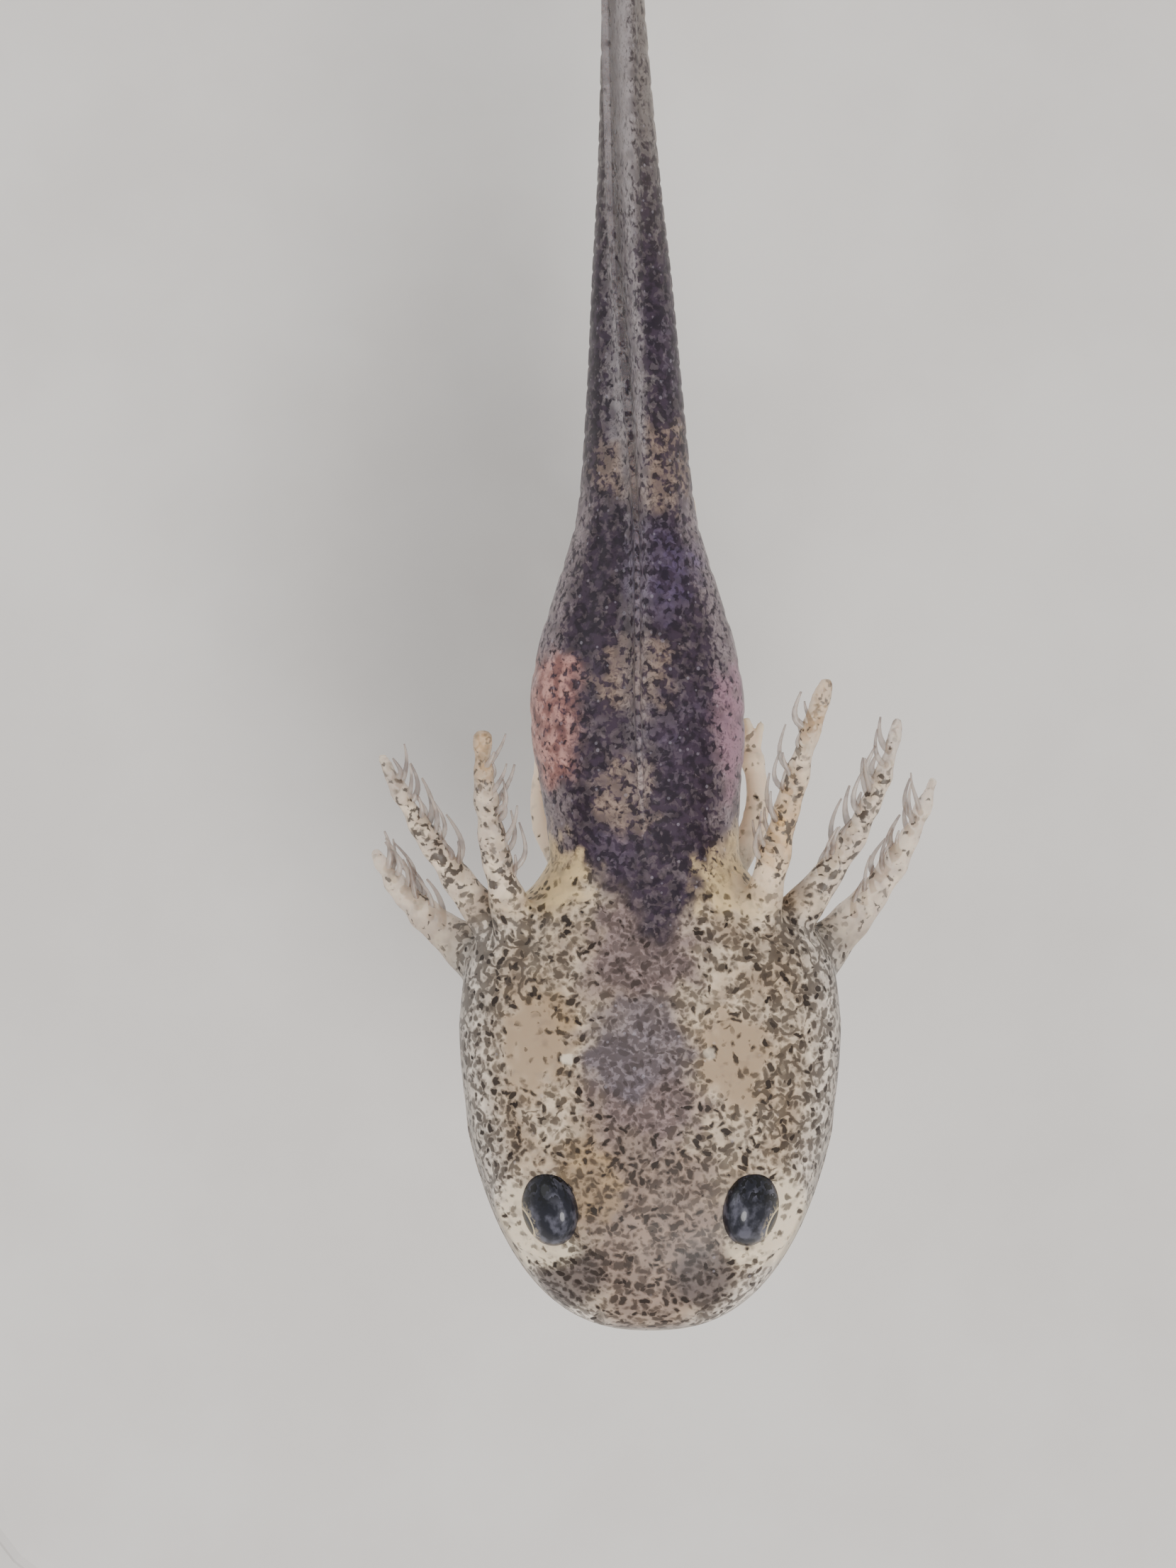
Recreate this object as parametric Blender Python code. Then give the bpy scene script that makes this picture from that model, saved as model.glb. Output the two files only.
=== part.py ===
"""Axolotl larva at life size, hovering on a plain display stand.

Metres, +Z up. The snout points along -Y and the animal's left side is +X.
The origin is the centre of the stand's underside.
The body follows one law: at each distance behind the snout it has a half width, a height above
and a depth below its axis. Thin cuts part it into head, trunk and lengths of tail.
"""

import math

import bmesh
import bpy
from mathutils import Matrix, Vector

MM = 0.001

# Whole animal
BODY_LENGTH = 21.0 * MM
AXIS_HEIGHT = 8.6 * MM  # the body's axis above the ground
CUT = 0.04 * MM  # clearance between neighbouring pieces
THINNEST = 0.5 * MM  # least thickness of fins, gills and legs

# Head: each outline is a quarter of a superellipse from the snout tip to the full size
HEAD_HALF_WIDTH = 2.33 * MM
HEAD_REACH = 3.76 * MM  # snout tip to the widest place
CROWN_HEIGHT = 1.18 * MM
CROWN_REACH = 3.3 * MM
THROAT_DEPTH = 1.14 * MM
THROAT_REACH = 3.3 * MM
SNOUT_BLUNTNESS = 2.15
HEAD_END = 5.3 * MM
HEAD_SQUARENESS = 2.3  # superellipse exponent of the head's cross-section
BODY_SQUARENESS = 2.0

# Mouth: the lower jaw is parted from the head by one cut
MOUTH_DROP = 0.2 * MM  # mouth line below the axis at the snout
MOUTH_RISE = 0.1 * MM  # how far the line has risen at its corner
MOUTH_CORNER = 2.75 * MM  # behind the snout tip
JAW_END = 3.75 * MM

# Eyes
EYE_RADIUS = 0.49 * MM
EYE_BEHIND_SNOUT = 1.52 * MM
EYE_OUT = 1.21 * MM
EYE_UP = 0.71 * MM
EYE_TILT = math.radians(30)  # the eye's axis, from straight up towards the side
EYE_FLATNESS = 0.8
BROW_RISE = 0.08 * MM  # the swelling of the head round each eye
BROW_SPREAD = 0.62 * MM

# Trunk and tail
TAIL_START = 10.0 * MM
DORSAL_FIN_START = 6.1 * MM
VENTRAL_FIN_START = 10.7 * MM
TAIL_SECOND = 13.6 * MM
TAIL_THIRD = 17.2 * MM
TAIL_TWIST = math.radians(8.5)  # the tail leans towards the animal's right
BODY_SHIFT = -0.16 * MM  # trunk and tail lie a little to the right of the head
TAIL_SHIFT = -0.26 * MM

# Distance behind the snout tip and size there, in millimetres
HALF_WIDTHS = (
    (3.76, 2.33), (4.45, 2.25), (4.85, 2.06), (5.15, 1.74), (5.45, 1.36), (5.8, 1.15),
    (6.5, 1.2), (7.2, 1.29), (7.6, 1.3), (8.3, 1.2), (9.0, 0.99), (10.0, 0.71),
    (11.4, 0.6), (12.8, 0.5), (14.1, 0.4), (16.2, 0.29), (17.6, 0.25), (21.0, 0.25),
)
HEIGHTS = (
    (3.3, 1.18), (4.1, 1.17), (5.4, 1.12), (7.2, 1.1), (9.0, 0.94), (10.5, 0.78),
    (13.0, 0.6), (16.0, 0.42), (18.5, 0.3), (21.0, 0.2),
)
DEPTHS = (
    (3.3, 1.14), (4.7, 1.1), (5.8, 1.2), (7.3, 1.42), (8.6, 1.24), (9.8, 0.86),
    (11.0, 0.74), (13.0, 0.6), (16.0, 0.42), (18.5, 0.3), (21.0, 0.2),
)
DORSAL_FIN = (
    (5.8, 0.0), (7.0, 0.24), (9.0, 0.56), (11.0, 0.88), (13.6, 1.16), (15.4, 1.2),
    (17.4, 1.02), (19.2, 0.66), (20.5, 0.22), (21.0, -0.1),
)
VENTRAL_FIN = (
    (10.35, 0.0), (11.2, 0.42), (13.0, 0.78), (15.0, 0.9), (17.2, 0.8), (19.1, 0.5),
    (20.5, 0.16), (21.0, -0.1),
)
FIN_LEAST = 0.08 * MM  # height of a fin's edge where it begins

# Gills, from root through bend to tip: (out, behind the snout, up), in millimetres
GILL_PATHS = {
    "gill_left_upper": ((1.25, 4.7, 0.5), (1.64, 6.3, 1.0), (2.1, 7.75, 1.4)),
    "gill_left_middle": ((1.5, 4.75, 0.15), (2.52, 6.1, 0.42), (3.0, 7.3, 0.66)),
    "gill_left_lower": ((1.9, 4.45, -0.25), (2.87, 5.5, -0.36), (3.44, 6.6, -0.45)),
    "gill_right_upper": ((-1.55, 4.7, 0.5), (-1.92, 6.0, 1.0), (-2.02, 7.1, 1.4)),
    "gill_right_middle": ((-1.75, 4.75, 0.15), (-2.64, 5.9, 0.42), (-3.22, 6.9, 0.66)),
    "gill_right_lower": ((-2.0, 4.5, -0.25), (-2.85, 5.15, -0.36), (-3.32, 5.75, -0.45)),
}
GILL_ROOT_RADIUS = 0.3 * MM
GILL_TIP_RADIUS = 0.25 * MM
GILL_SPREAD = 1.3  # width of a gill with its fringe, over its thickness

# Legs on the left side, folded back along the flank: each from root through bend to end
FORELEG_PATH = ((0.85, 5.5, -0.5), (1.28, 6.15, -0.9), (1.26, 6.85, -1.0))
FOREFOOT_PATH = ((1.26, 6.9, -1.0), (1.24, 7.15, -1.0), (1.18, 7.4, -1.0))
HINDLEG_PATH = ((0.3, 9.5, -0.5), (0.52, 9.74, -0.68), (0.6, 10.12, -0.8))
LEG_RADIUS = 0.26 * MM
FOREFOOT_SPREAD = 1.25  # width of the foot over its thickness

# Stand
BASE_WIDTH = 17.4 * MM
BASE_LENGTH = 28.8 * MM
BASE_THICKNESS = 1.5 * MM
BASE_CORNER = 2.0 * MM
BASE_EDGE = 0.3 * MM
ROD_RADIUS = 0.4 * MM
ROD_PLACES = {"stand_rod_front": 6.1 * MM, "stand_rod_rear": 8.7 * MM}

# Facets
AROUND_BODY = 32
AROUND_TUBE = 12
HEAD_STEP = 0.3 * MM
BODY_STEP = 0.5 * MM
FIN_STEP = 0.6 * MM

COLOURS = {
    "skin_head": (0.46, 0.40, 0.33),
    "skin_trunk": (0.27, 0.23, 0.27),
    "skin_tail": (0.42, 0.37, 0.34),
    "fin": (0.60, 0.55, 0.50),
    "gill": (0.62, 0.53, 0.38),
    "leg": (0.62, 0.54, 0.44),
    "eye": (0.015, 0.02, 0.04),
    "stand": (0.62, 0.60, 0.57),
}


def clear_scene():
    for obj in list(bpy.data.objects):
        bpy.data.objects.remove(obj)


def smooth(share):
    share = min(max(share, 0.0), 1.0)
    return share * share * (3 - 2 * share)


def between(knots, place):
    """A monotone cubic through the knots, so that a profile never swings past them."""
    place = min(max(place / MM, knots[0][0]), knots[-1][0])
    rises = [(b[1] - a[1]) / (b[0] - a[0]) for a, b in zip(knots, knots[1:])]
    slopes = [rises[0]]
    for before, after in zip(rises, rises[1:]):
        slopes.append(0.0 if before * after <= 0 else 2 * before * after / (before + after))
    slopes.append(rises[-1])
    for i, (low, high) in enumerate(zip(knots, knots[1:])):
        if place <= high[0]:
            break
    span = high[0] - low[0]
    t = (place - low[0]) / span
    value = (
        (1 + 2 * t) * (1 - t) ** 2 * low[1] + t * (1 - t) ** 2 * span * slopes[i]
        + t * t * (3 - 2 * t) * high[1] + t * t * (t - 1) * span * slopes[i + 1]
    )
    return value * MM


def rounded_front(place, reach, full):
    """The outline's rise from the snout tip back to where the head has its full size."""
    left = 1 - (1 - place / reach) ** SNOUT_BLUNTNESS
    return full * left ** (1 / SNOUT_BLUNTNESS)


def half_width(place):
    if place < HEAD_REACH:
        return rounded_front(place, HEAD_REACH, HEAD_HALF_WIDTH)
    return between(HALF_WIDTHS, place)


def height(place):
    if place < CROWN_REACH:
        return rounded_front(place, CROWN_REACH, CROWN_HEIGHT)
    return between(HEIGHTS, place)


def depth(place):
    if place < THROAT_REACH:
        return rounded_front(place, THROAT_REACH, THROAT_DEPTH)
    return between(DEPTHS, place)


def squareness(place):
    share = smooth((place - HEAD_REACH) / (HEAD_END - HEAD_REACH))
    return HEAD_SQUARENESS + (BODY_SQUARENESS - HEAD_SQUARENESS) * share


def axis_x(place):
    trunk = smooth((place - 4 * MM) / (4 * MM))
    tail = smooth((place - 9 * MM) / (BODY_LENGTH - 9 * MM))
    return BODY_SHIFT * trunk + TAIL_SHIFT * tail


def twist(place):
    return TAIL_TWIST * smooth((place - 9 * MM) / (5 * MM))


def in_body(out, place, up):
    """The world point that lies so far out and up from the body's axis, at a place behind the snout."""
    turn = twist(place)
    x = out * math.cos(turn) - up * math.sin(turn)
    z = out * math.sin(turn) + up * math.cos(turn)
    return Vector((axis_x(place) + x, place - BODY_LENGTH / 2, AXIS_HEIGHT + z))


def power(value, exponent):
    return math.copysign(abs(value) ** exponent, value)


def brow_swelling(out, place, up):
    """How far the head swells at a point, because an eye lies beneath it."""
    away = (abs(out) - EYE_OUT, place - EYE_BEHIND_SNOUT, up - EYE_UP)
    reach = math.hypot(*away) / (EYE_RADIUS + BROW_SPREAD)
    return BROW_RISE * (1 - smooth(reach))


def body_ring(place, grow=0.0, blade=False):
    """One cross-section. A blade is the end of the tail, where muscle and fins are one thickness."""
    wide = half_width(place) + grow
    up = height(place) + grow
    down = depth(place) + grow
    if blade:
        up += max(0.0, between(DORSAL_FIN, place))
        down += max(0.0, between(VENTRAL_FIN, place))
    exponent = 2 / squareness(place)
    ring = []
    for i in range(AROUND_BODY):
        angle = 2 * math.pi * i / AROUND_BODY
        out = wide * power(math.cos(angle), exponent)
        rise = power(math.sin(angle), exponent)
        rise *= up if rise > 0 else down
        swell = 1 + brow_swelling(out, place, rise) / max(math.hypot(out, rise), THINNEST)
        ring.append(in_body(out * swell, place, rise * swell))
    return ring


def spaced(start, end, step):
    count = max(1, round((end - start) / step))
    return [start + (end - start) * i / count for i in range(count + 1)]


def mesh_object(name, bm, colour):
    bmesh.ops.recalc_face_normals(bm, faces=bm.faces)
    mesh = bpy.data.meshes.new(name)
    bm.to_mesh(mesh)
    bm.free()
    mesh.shade_smooth()
    mesh.set_sharp_from_angle(angle=math.radians(40))
    mesh.materials.append(material(colour))
    obj = bpy.data.objects.new(name, mesh)
    bpy.context.scene.collection.objects.link(obj)
    return obj


def material(name):
    found = bpy.data.materials.get(name)
    if found:
        return found
    made = bpy.data.materials.new(name)
    made.use_nodes = True
    shader = made.node_tree.nodes["Principled BSDF"]
    shader.inputs["Base Color"].default_value = (*COLOURS[name], 1)
    shader.inputs["Roughness"].default_value = 0.1 if name == "eye" else 0.45
    shader.inputs["Metallic"].default_value = 0.0
    return made


def skinned(name, rings, colour, start_pole=None, end_pole=None):
    """A closed solid through rings of equal count, closed by a flat face or a pole at each end."""
    bm = bmesh.new()
    loops = [[bm.verts.new(point) for point in ring] for ring in rings]
    for a, b in zip(loops, loops[1:]):
        for i in range(len(a)):
            j = (i + 1) % len(a)
            bm.faces.new((a[i], a[j], b[j], b[i]))
    for loop, pole in ((loops[0], start_pole), (loops[-1], end_pole)):
        if pole is None:
            bm.faces.new(loop)
            continue
        tip = bm.verts.new(pole)
        for i in range(len(loop)):
            bm.faces.new((loop[i], loop[(i + 1) % len(loop)], tip))
    return mesh_object(name, bm, colour)


def as_cutter(obj):
    obj.hide_render = True
    obj.display_type = "WIRE"
    return obj


def boolean(obj, other, operation="DIFFERENCE"):
    step = obj.modifiers.new(operation.lower() + "_" + other.name, "BOOLEAN")
    step.operation = operation
    step.solver = "EXACT"
    step.object = other


def head_form(name, grow=0.0):
    """The whole head as one form, snout tip to neck."""
    turns = [math.radians(a) for a in (9, 20, 32, 44, 56, 68, 79)]
    front = [HEAD_REACH * (1 - math.cos(a)) for a in turns]
    places = front + spaced(HEAD_REACH, HEAD_END - CUT / 2, HEAD_STEP)
    rings = [body_ring(place, grow) for place in places]
    return skinned(name, rings, "skin_head", start_pole=in_body(0, -grow, 0))


def jaw_block(name, grow):
    """The space of the lower jaw: below the mouth line and in front of the jaw joint."""
    wide = HEAD_HALF_WIDTH + 1 * MM
    mouth = -MOUTH_DROP + grow
    profile = (
        (-1.0 * MM, mouth), (MOUTH_CORNER * 0.55, mouth), (MOUTH_CORNER + grow, mouth + MOUTH_RISE),
        (JAW_END + grow, -THROAT_DEPTH - 1 * MM), (-1.0 * MM, -THROAT_DEPTH - 1 * MM),
    )
    rings = [
        [Vector((side * wide, place - BODY_LENGTH / 2, AXIS_HEIGHT + up)) for place, up in profile]
        for side in (-1, 1)
    ]
    return as_cutter(skinned(name, rings, "skin_head"))


def eyeball(name, side, grow=0.0):
    bm = bmesh.new()
    bmesh.ops.create_uvsphere(bm, u_segments=20, v_segments=12, radius=EYE_RADIUS + grow)
    flatten = Matrix.Diagonal((1, 1, (EYE_RADIUS * EYE_FLATNESS + grow) / (EYE_RADIUS + grow), 1))
    turn = Matrix.Rotation(side * EYE_TILT, 4, "Y")
    place = Matrix.Translation(in_body(side * EYE_OUT, EYE_BEHIND_SNOUT, EYE_UP))
    bm.transform(place @ turn @ flatten)
    return mesh_object(name, bm, "eye")


def build_head():
    head = head_form("head")
    boolean(head, jaw_block("cut_jaw_space", CUT / 2))
    jaw = head_form("lower_jaw")
    boolean(jaw, jaw_block("cut_jaw_keep", -CUT / 2), "INTERSECT")
    for side, word in ((1, "left"), (-1, "right")):
        eyeball("eye_" + word, side)
        boolean(head, as_cutter(eyeball("cut_socket_" + word, side, CUT)))


def build_body():
    trunk = [body_ring(p) for p in spaced(HEAD_END + CUT / 2, TAIL_START - CUT / 2, BODY_STEP)]
    skinned("trunk", trunk, "skin_trunk")
    lengths = (("tail_root", TAIL_START, TAIL_SECOND), ("tail_middle", TAIL_SECOND, TAIL_THIRD))
    for name, start, end in lengths:
        rings = [body_ring(p) for p in spaced(start + CUT / 2, end - CUT / 2, BODY_STEP)]
        skinned(name, rings, "skin_tail")
    places = spaced(TAIL_THIRD + CUT / 2, BODY_LENGTH - 0.12 * MM, BODY_STEP)
    rings = [body_ring(p, blade=True) for p in places]
    skinned("tail_tip", rings, "skin_tail", end_pole=in_body(0, BODY_LENGTH, 0))


def fin_ring(place, rise, upward):
    """A fin's cross-section: its foot follows the muscle's round back, and its edge is rounded."""
    half = THINNEST / 2
    wide = half_width(place) + CUT
    tall = (height(place) if upward else depth(place)) + CUT
    foot = [
        (x, tall * math.sqrt(1 - (x / wide) ** 2) if wide > abs(x) else 0.0)
        for x in (-half, -half / 2, 0, half / 2, half)
    ]
    top = tall + rise
    shoulder = min(half * 0.6, rise * 0.6)
    crest = [
        (half, top - shoulder), (half * 0.6, top - shoulder / 4), (0, top),
        (-half * 0.6, top - shoulder / 4), (-half, top - shoulder),
    ]
    sign = 1 if upward else -1
    return [in_body(x, place, sign * up) for x, up in foot + crest]


def build_fins():
    fins = (
        ("dorsal_fin_trunk", DORSAL_FIN, DORSAL_FIN_START, TAIL_START, True),
        ("dorsal_fin_tail", DORSAL_FIN, TAIL_START, TAIL_THIRD, True),
        ("ventral_fin", VENTRAL_FIN, VENTRAL_FIN_START, TAIL_THIRD, False),
    )
    for name, profile, first, last, upward in fins:
        places = spaced(first + CUT / 2, last - CUT / 2, FIN_STEP)
        rings = [fin_ring(p, max(between(profile, p), FIN_LEAST), upward) for p in places]
        skinned(name, rings, "fin")


def off_axis(point):
    """A point given as (out, behind the snout, up) from the head's straight axis, in millimetres."""
    out, behind, up = (value * MM for value in point)
    return Vector((out, behind - BODY_LENGTH / 2, AXIS_HEIGHT + up))


def curve_through(points):
    """A quadratic curve that passes through its three points, as a function of its share."""
    start, middle, end = (off_axis(point) for point in points)
    handle = middle * 2 - (start + end) / 2
    return lambda t: start * (1 - t) ** 2 + handle * 2 * t * (1 - t) + end * t * t


def tube_ring(along, share, radius, spread):
    forward = (along(share + 0.02) - along(share - 0.02)).normalized()
    side = forward.cross(Vector((0, 0, 1))).normalized()
    lift = side.cross(forward)
    ring = []
    for i in range(AROUND_TUBE):
        angle = 2 * math.pi * i / AROUND_TUBE
        across = side * radius * spread * math.cos(angle)
        ring.append(along(share) + across + lift * radius * math.sin(angle))
    return ring


def tube(name, points, radii, colour, steps=9, spread=1.0):
    """A leg or a gill along its curve, from its root's radius to its tip's, with a round end."""
    along = curve_through(points)
    root, tip = radii
    shares = [i / steps for i in range(steps + 1)]
    rings = [tube_ring(along, share, root + (tip - root) * share, spread) for share in shares]
    forward = (along(1.0) - along(0.98)).normalized()
    for lift in (0.5, 0.85):
        ring = tube_ring(along, 1.0, tip * math.sqrt(1 - lift * lift), spread)
        rings.append([point + forward * tip * lift for point in ring])
    return skinned(name, rings, colour, end_pole=along(1.0) + forward * tip)


def body_cutter():
    """The head's rear and the trunk, grown by the clearance, which trims whatever grows from them."""
    places = spaced(3.0 * MM, 12.0 * MM, HEAD_STEP)
    rings = [body_ring(place, CUT) for place in places]
    return as_cutter(skinned("cut_body", rings, "skin_trunk"))


def build_gills(cutter):
    radii = (GILL_ROOT_RADIUS, GILL_TIP_RADIUS)
    for name, points in GILL_PATHS.items():
        boolean(tube(name, points, radii, "gill", spread=GILL_SPREAD), cutter)


def build_leg(name, side, path, cutter, steps, spread=1.0, grow=0.0):
    points = [(side * out, behind, up) for out, behind, up in path]
    leg = tube(name, points, (LEG_RADIUS + grow, LEG_RADIUS + grow), "leg", steps, spread)
    boolean(leg, cutter)
    return leg


def build_legs(cutter):
    for side, word in ((1, "left"), (-1, "right")):
        build_leg("foreleg_" + word, side, FORELEG_PATH, cutter, 7)
        wrist = build_leg("cut_wrist_" + word, side, FORELEG_PATH, cutter, 7, grow=CUT)
        foot = build_leg("forefoot_" + word, side, FOREFOOT_PATH, cutter, 4, FOREFOOT_SPREAD)
        boolean(foot, as_cutter(wrist))
        build_leg("hindleg_" + word, side, HINDLEG_PATH, cutter, 4)


def build_stand(cutter):
    bm = bmesh.new()
    bmesh.ops.create_cube(bm, size=1)
    bm.transform(Matrix.Diagonal((BASE_WIDTH, BASE_LENGTH, BASE_THICKNESS, 1)))
    bm.transform(Matrix.Translation((0, 0, BASE_THICKNESS / 2)))
    uprights = [e for e in bm.edges if abs(e.verts[0].co.z - e.verts[1].co.z) > BASE_THICKNESS / 2]
    bmesh.ops.bevel(bm, geom=uprights, offset=BASE_CORNER, segments=6, profile=0.5,
                    affect="EDGES")
    rim = [e for e in bm.edges if min(v.co.z for v in e.verts) > BASE_THICKNESS - 1e-6]
    bmesh.ops.bevel(bm, geom=rim, offset=BASE_EDGE, segments=3, profile=0.5, affect="EDGES")
    mesh_object("stand_base", bm, "stand")
    for name, place in ROD_PLACES.items():
        bottom = BASE_THICKNESS + CUT
        bm = bmesh.new()
        bmesh.ops.create_cone(bm, cap_ends=True, segments=20, radius1=ROD_RADIUS,
                              radius2=ROD_RADIUS, depth=AXIS_HEIGHT - bottom)
        middle = (axis_x(place), place - BODY_LENGTH / 2, (AXIS_HEIGHT + bottom) / 2)
        bm.transform(Matrix.Translation(middle))
        boolean(mesh_object(name, bm, "stand"), cutter)


def main():
    clear_scene()
    build_head()
    build_body()
    build_fins()
    cutter = body_cutter()
    build_gills(cutter)
    build_legs(cutter)
    build_stand(cutter)


main()
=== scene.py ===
"""Dresses the axolotl larva: one skin over the whole body, eyes, gill filaments, stand and stage.

The scene is in metres. The skin is modelled in millimetres from the body's own law, the same one that
the solids follow: at each distance behind the snout it has a half width, a height above and a depth
below its axis. It is scaled down to metres at the end.
"""

import math

import bmesh
import bpy
import numpy as np
from bpy.props import FloatProperty, FloatVectorProperty, IntProperty, PointerProperty
from mathutils import Matrix, Vector, noise


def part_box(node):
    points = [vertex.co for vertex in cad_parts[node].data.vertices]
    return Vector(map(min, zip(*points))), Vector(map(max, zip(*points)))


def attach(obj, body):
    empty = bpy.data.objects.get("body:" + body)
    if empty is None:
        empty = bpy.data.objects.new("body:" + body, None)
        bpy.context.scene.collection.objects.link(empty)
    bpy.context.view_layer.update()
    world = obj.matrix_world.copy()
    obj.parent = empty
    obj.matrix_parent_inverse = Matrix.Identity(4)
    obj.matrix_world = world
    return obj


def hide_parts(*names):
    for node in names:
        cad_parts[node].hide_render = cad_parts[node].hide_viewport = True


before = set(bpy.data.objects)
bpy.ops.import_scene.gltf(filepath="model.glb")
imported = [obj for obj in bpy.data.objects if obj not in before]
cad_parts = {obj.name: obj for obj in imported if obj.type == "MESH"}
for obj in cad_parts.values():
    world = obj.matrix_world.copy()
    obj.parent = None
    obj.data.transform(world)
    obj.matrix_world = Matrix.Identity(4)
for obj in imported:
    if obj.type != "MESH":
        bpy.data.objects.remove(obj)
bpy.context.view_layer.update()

bl_info = {
    "name": "Axolotl Larva",
    "version": (1, 0, 0),
    "blender": (4, 5, 0),
    "location": "View3D > Sidebar > Larva",
    "description": "Skin, eyes, gill filaments, stand finish and stage for a life-size axolotl larva",
    "category": "Object",
}

MM = 0.001
SIDES = {"left": 1, "right": -1}

# Where the animal is, from the frame
SNOUT = min((v.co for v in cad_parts["head"].data.vertices), key=lambda co: co.y) / MM
BODY_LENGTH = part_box("tail_tip")[1][1] / MM - SNOUT.y

# Millimetres from here on. Head: each outline is a quarter of a superellipse from the snout tip to
# the full size
HEAD_REACH = 3.76
CROWN_REACH = 3.3
THROAT_REACH = 3.3
SNOUT_FLATNESS = 1.9
SNOUT_BLUNTNESS = 2.5
HEAD_SQUARENESS, BODY_SQUARENESS = 2.3, 2.0
HEAD_END = 5.3

# Body: distance behind the snout and size there
HALF_WIDTHS = (
    (3.76, 2.33), (4.45, 2.25), (4.85, 2.05), (5.15, 1.72), (5.45, 1.35), (5.8, 1.16),
    (6.5, 1.21), (7.2, 1.3), (7.6, 1.31), (8.3, 1.21), (9.0, 1.0), (10.0, 0.72),
    (11.4, 0.59), (12.8, 0.49), (14.1, 0.38), (16.2, 0.26), (18.0, 0.18), (19.6, 0.09), (21.0, 0.03),
)
HEIGHTS = (
    (3.3, 1.17), (4.1, 1.16), (5.4, 1.1), (7.2, 1.08), (9.0, 0.92), (10.5, 0.76),
    (13.0, 0.58), (16.0, 0.4), (18.5, 0.24), (20.0, 0.1), (21.0, 0.03),
)
DEPTHS = (
    (3.3, 1.12), (4.7, 1.08), (5.8, 1.18), (7.3, 1.4), (8.6, 1.22), (9.8, 0.84),
    (11.0, 0.72), (13.0, 0.58), (16.0, 0.4), (18.5, 0.24), (20.0, 0.1), (21.0, 0.03),
)
DORSAL_FIN = (
    (5.7, 0.0), (7.0, 0.22), (9.0, 0.54), (11.0, 0.86), (13.6, 1.14), (15.4, 1.2),
    (17.4, 1.04), (19.0, 0.74), (20.2, 0.4), (20.8, 0.16), (21.0, 0.02),
)
VENTRAL_FIN = (
    (10.2, 0.0), (11.2, 0.4), (13.0, 0.76), (15.0, 0.9), (17.2, 0.84), (19.0, 0.6),
    (20.2, 0.34), (20.8, 0.14), (21.0, 0.02),
)
# Fins: where the upper and the lower blade start, half thickness at the edge, and more at the foot
FINS_START = (5.75, 10.3)
FIN_EDGE = 0.055
FIN_FOOT = 0.15

# Pose: sideways shifts of the body and the tail, and the tail's roll
TAIL_START = 9
BODY_SHIFT = -0.16
TAIL_SHIFT = -0.26
TAIL_TWIST = math.radians(8.5)

# Eyes
EYE_RADIUS = 0.495
EYE_BEHIND_SNOUT = 1.52
EYE_OUT = 1.23
EYE_UP = 0.7
EYE_TILT = math.radians(64)
EYE_FORWARD = math.radians(14)
EYE_FLATNESS = 0.64
PUPIL_TURN = math.radians(18)
PUPIL_AHEAD = 0.26
# Edges of the pale ring and of the pupil, as the cosine of the angle from the gaze
RING_EDGE = (0.917, 0.93)
PUPIL_EDGE = (0.946, 0.955)
BROW_RISE = 0.08
BROW_SPREAD = 0.62

# Mouth: its line, and its lips, chin and slit as (above the line, width, swelling)
MOUTH_DROP = 0.2
MOUTH_RISE = 0.1
MOUTH_CORNER = 2.75
MOUTH_FOLDS = ((0.07, 0.06, 0.03), (-0.08, 0.07, 0.008), (0.0, 0.035, -0.075))

# Other folds, as swellings (above nothing) and grooves (below)
EYE_RIM = 0.035
NOSTRIL_OUT, NOSTRIL_BEHIND_SNOUT = 0.62, 0.17
NOSTRIL_SWELLING, NOSTRIL_PIT = 0.03, 0.08
BACK_RIDGES = 0.035
RIB_GROOVES = 0.012
THROAT_FOLD, THROAT_GROOVE = 0.035, 0.05
THROAT_BEHIND_SNOUT = 4.55

# Ear stones, in plan: (place, reach, strength)
OTOLITHS = (
    ((-1.0, SNOUT.y + 3.31, 0), 0.1, 0.95),
    ((0.72, SNOUT.y + 3.38, 0), 0.09, 0.5),
)

# Gills and legs, from root through bend to tip: (out, behind the snout, up)
GILL_PATHS = {
    "left_upper": ((1.25, 4.7, 0.5), (1.64, 6.3, 1.0), (2.12, 7.85, 1.42)),
    "left_middle": ((1.5, 4.75, 0.15), (2.52, 6.1, 0.42), (3.0, 7.4, 0.68)),
    "left_lower": ((1.9, 4.45, -0.25), (2.87, 5.5, -0.36), (3.46, 6.68, -0.45)),
    "right_upper": ((-1.55, 4.7, 0.5), (-1.92, 6.0, 1.0), (-2.03, 7.2, 1.44)),
    "right_middle": ((-1.75, 4.75, 0.15), (-2.64, 5.9, 0.42), (-3.25, 6.97, 0.68)),
    "right_lower": ((-2.0, 4.5, -0.25), (-2.85, 5.15, -0.36), (-3.35, 5.8, -0.46)),
}
# Gill stems: radius at the root and the tip, and how dark the pigment lies
GILL_BUILD = {"upper": (0.19, 0.09, 0.9), "middle": (0.185, 0.065, 1.0), "lower": (0.23, 0.06, 0.35)}
FORELEG_PATH = ((0.85, 5.5, -0.5), (1.28, 6.15, -0.9), (1.26, 6.95, -1.0))
HINDLEG_PATH = ((0.26, 9.5, -0.5), (0.4, 9.74, -0.7), (0.42, 10.1, -0.82))
# Fingers: the wrist, and how far each spreads sideways and reaches back from it
WRIST = (1.26, 6.98, -1.0)
FINGERS = ((-0.34, 0.34), (-0.05, 0.46), (0.26, 0.4))
# Radii at the root, and how much slimmer at the end
FINGER_TAPER = (0.08, 0.035)
HINDLEG_TAPER = (0.19, 0.05)
FORELEG_TAPER = (0.175, 0.05)

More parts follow.
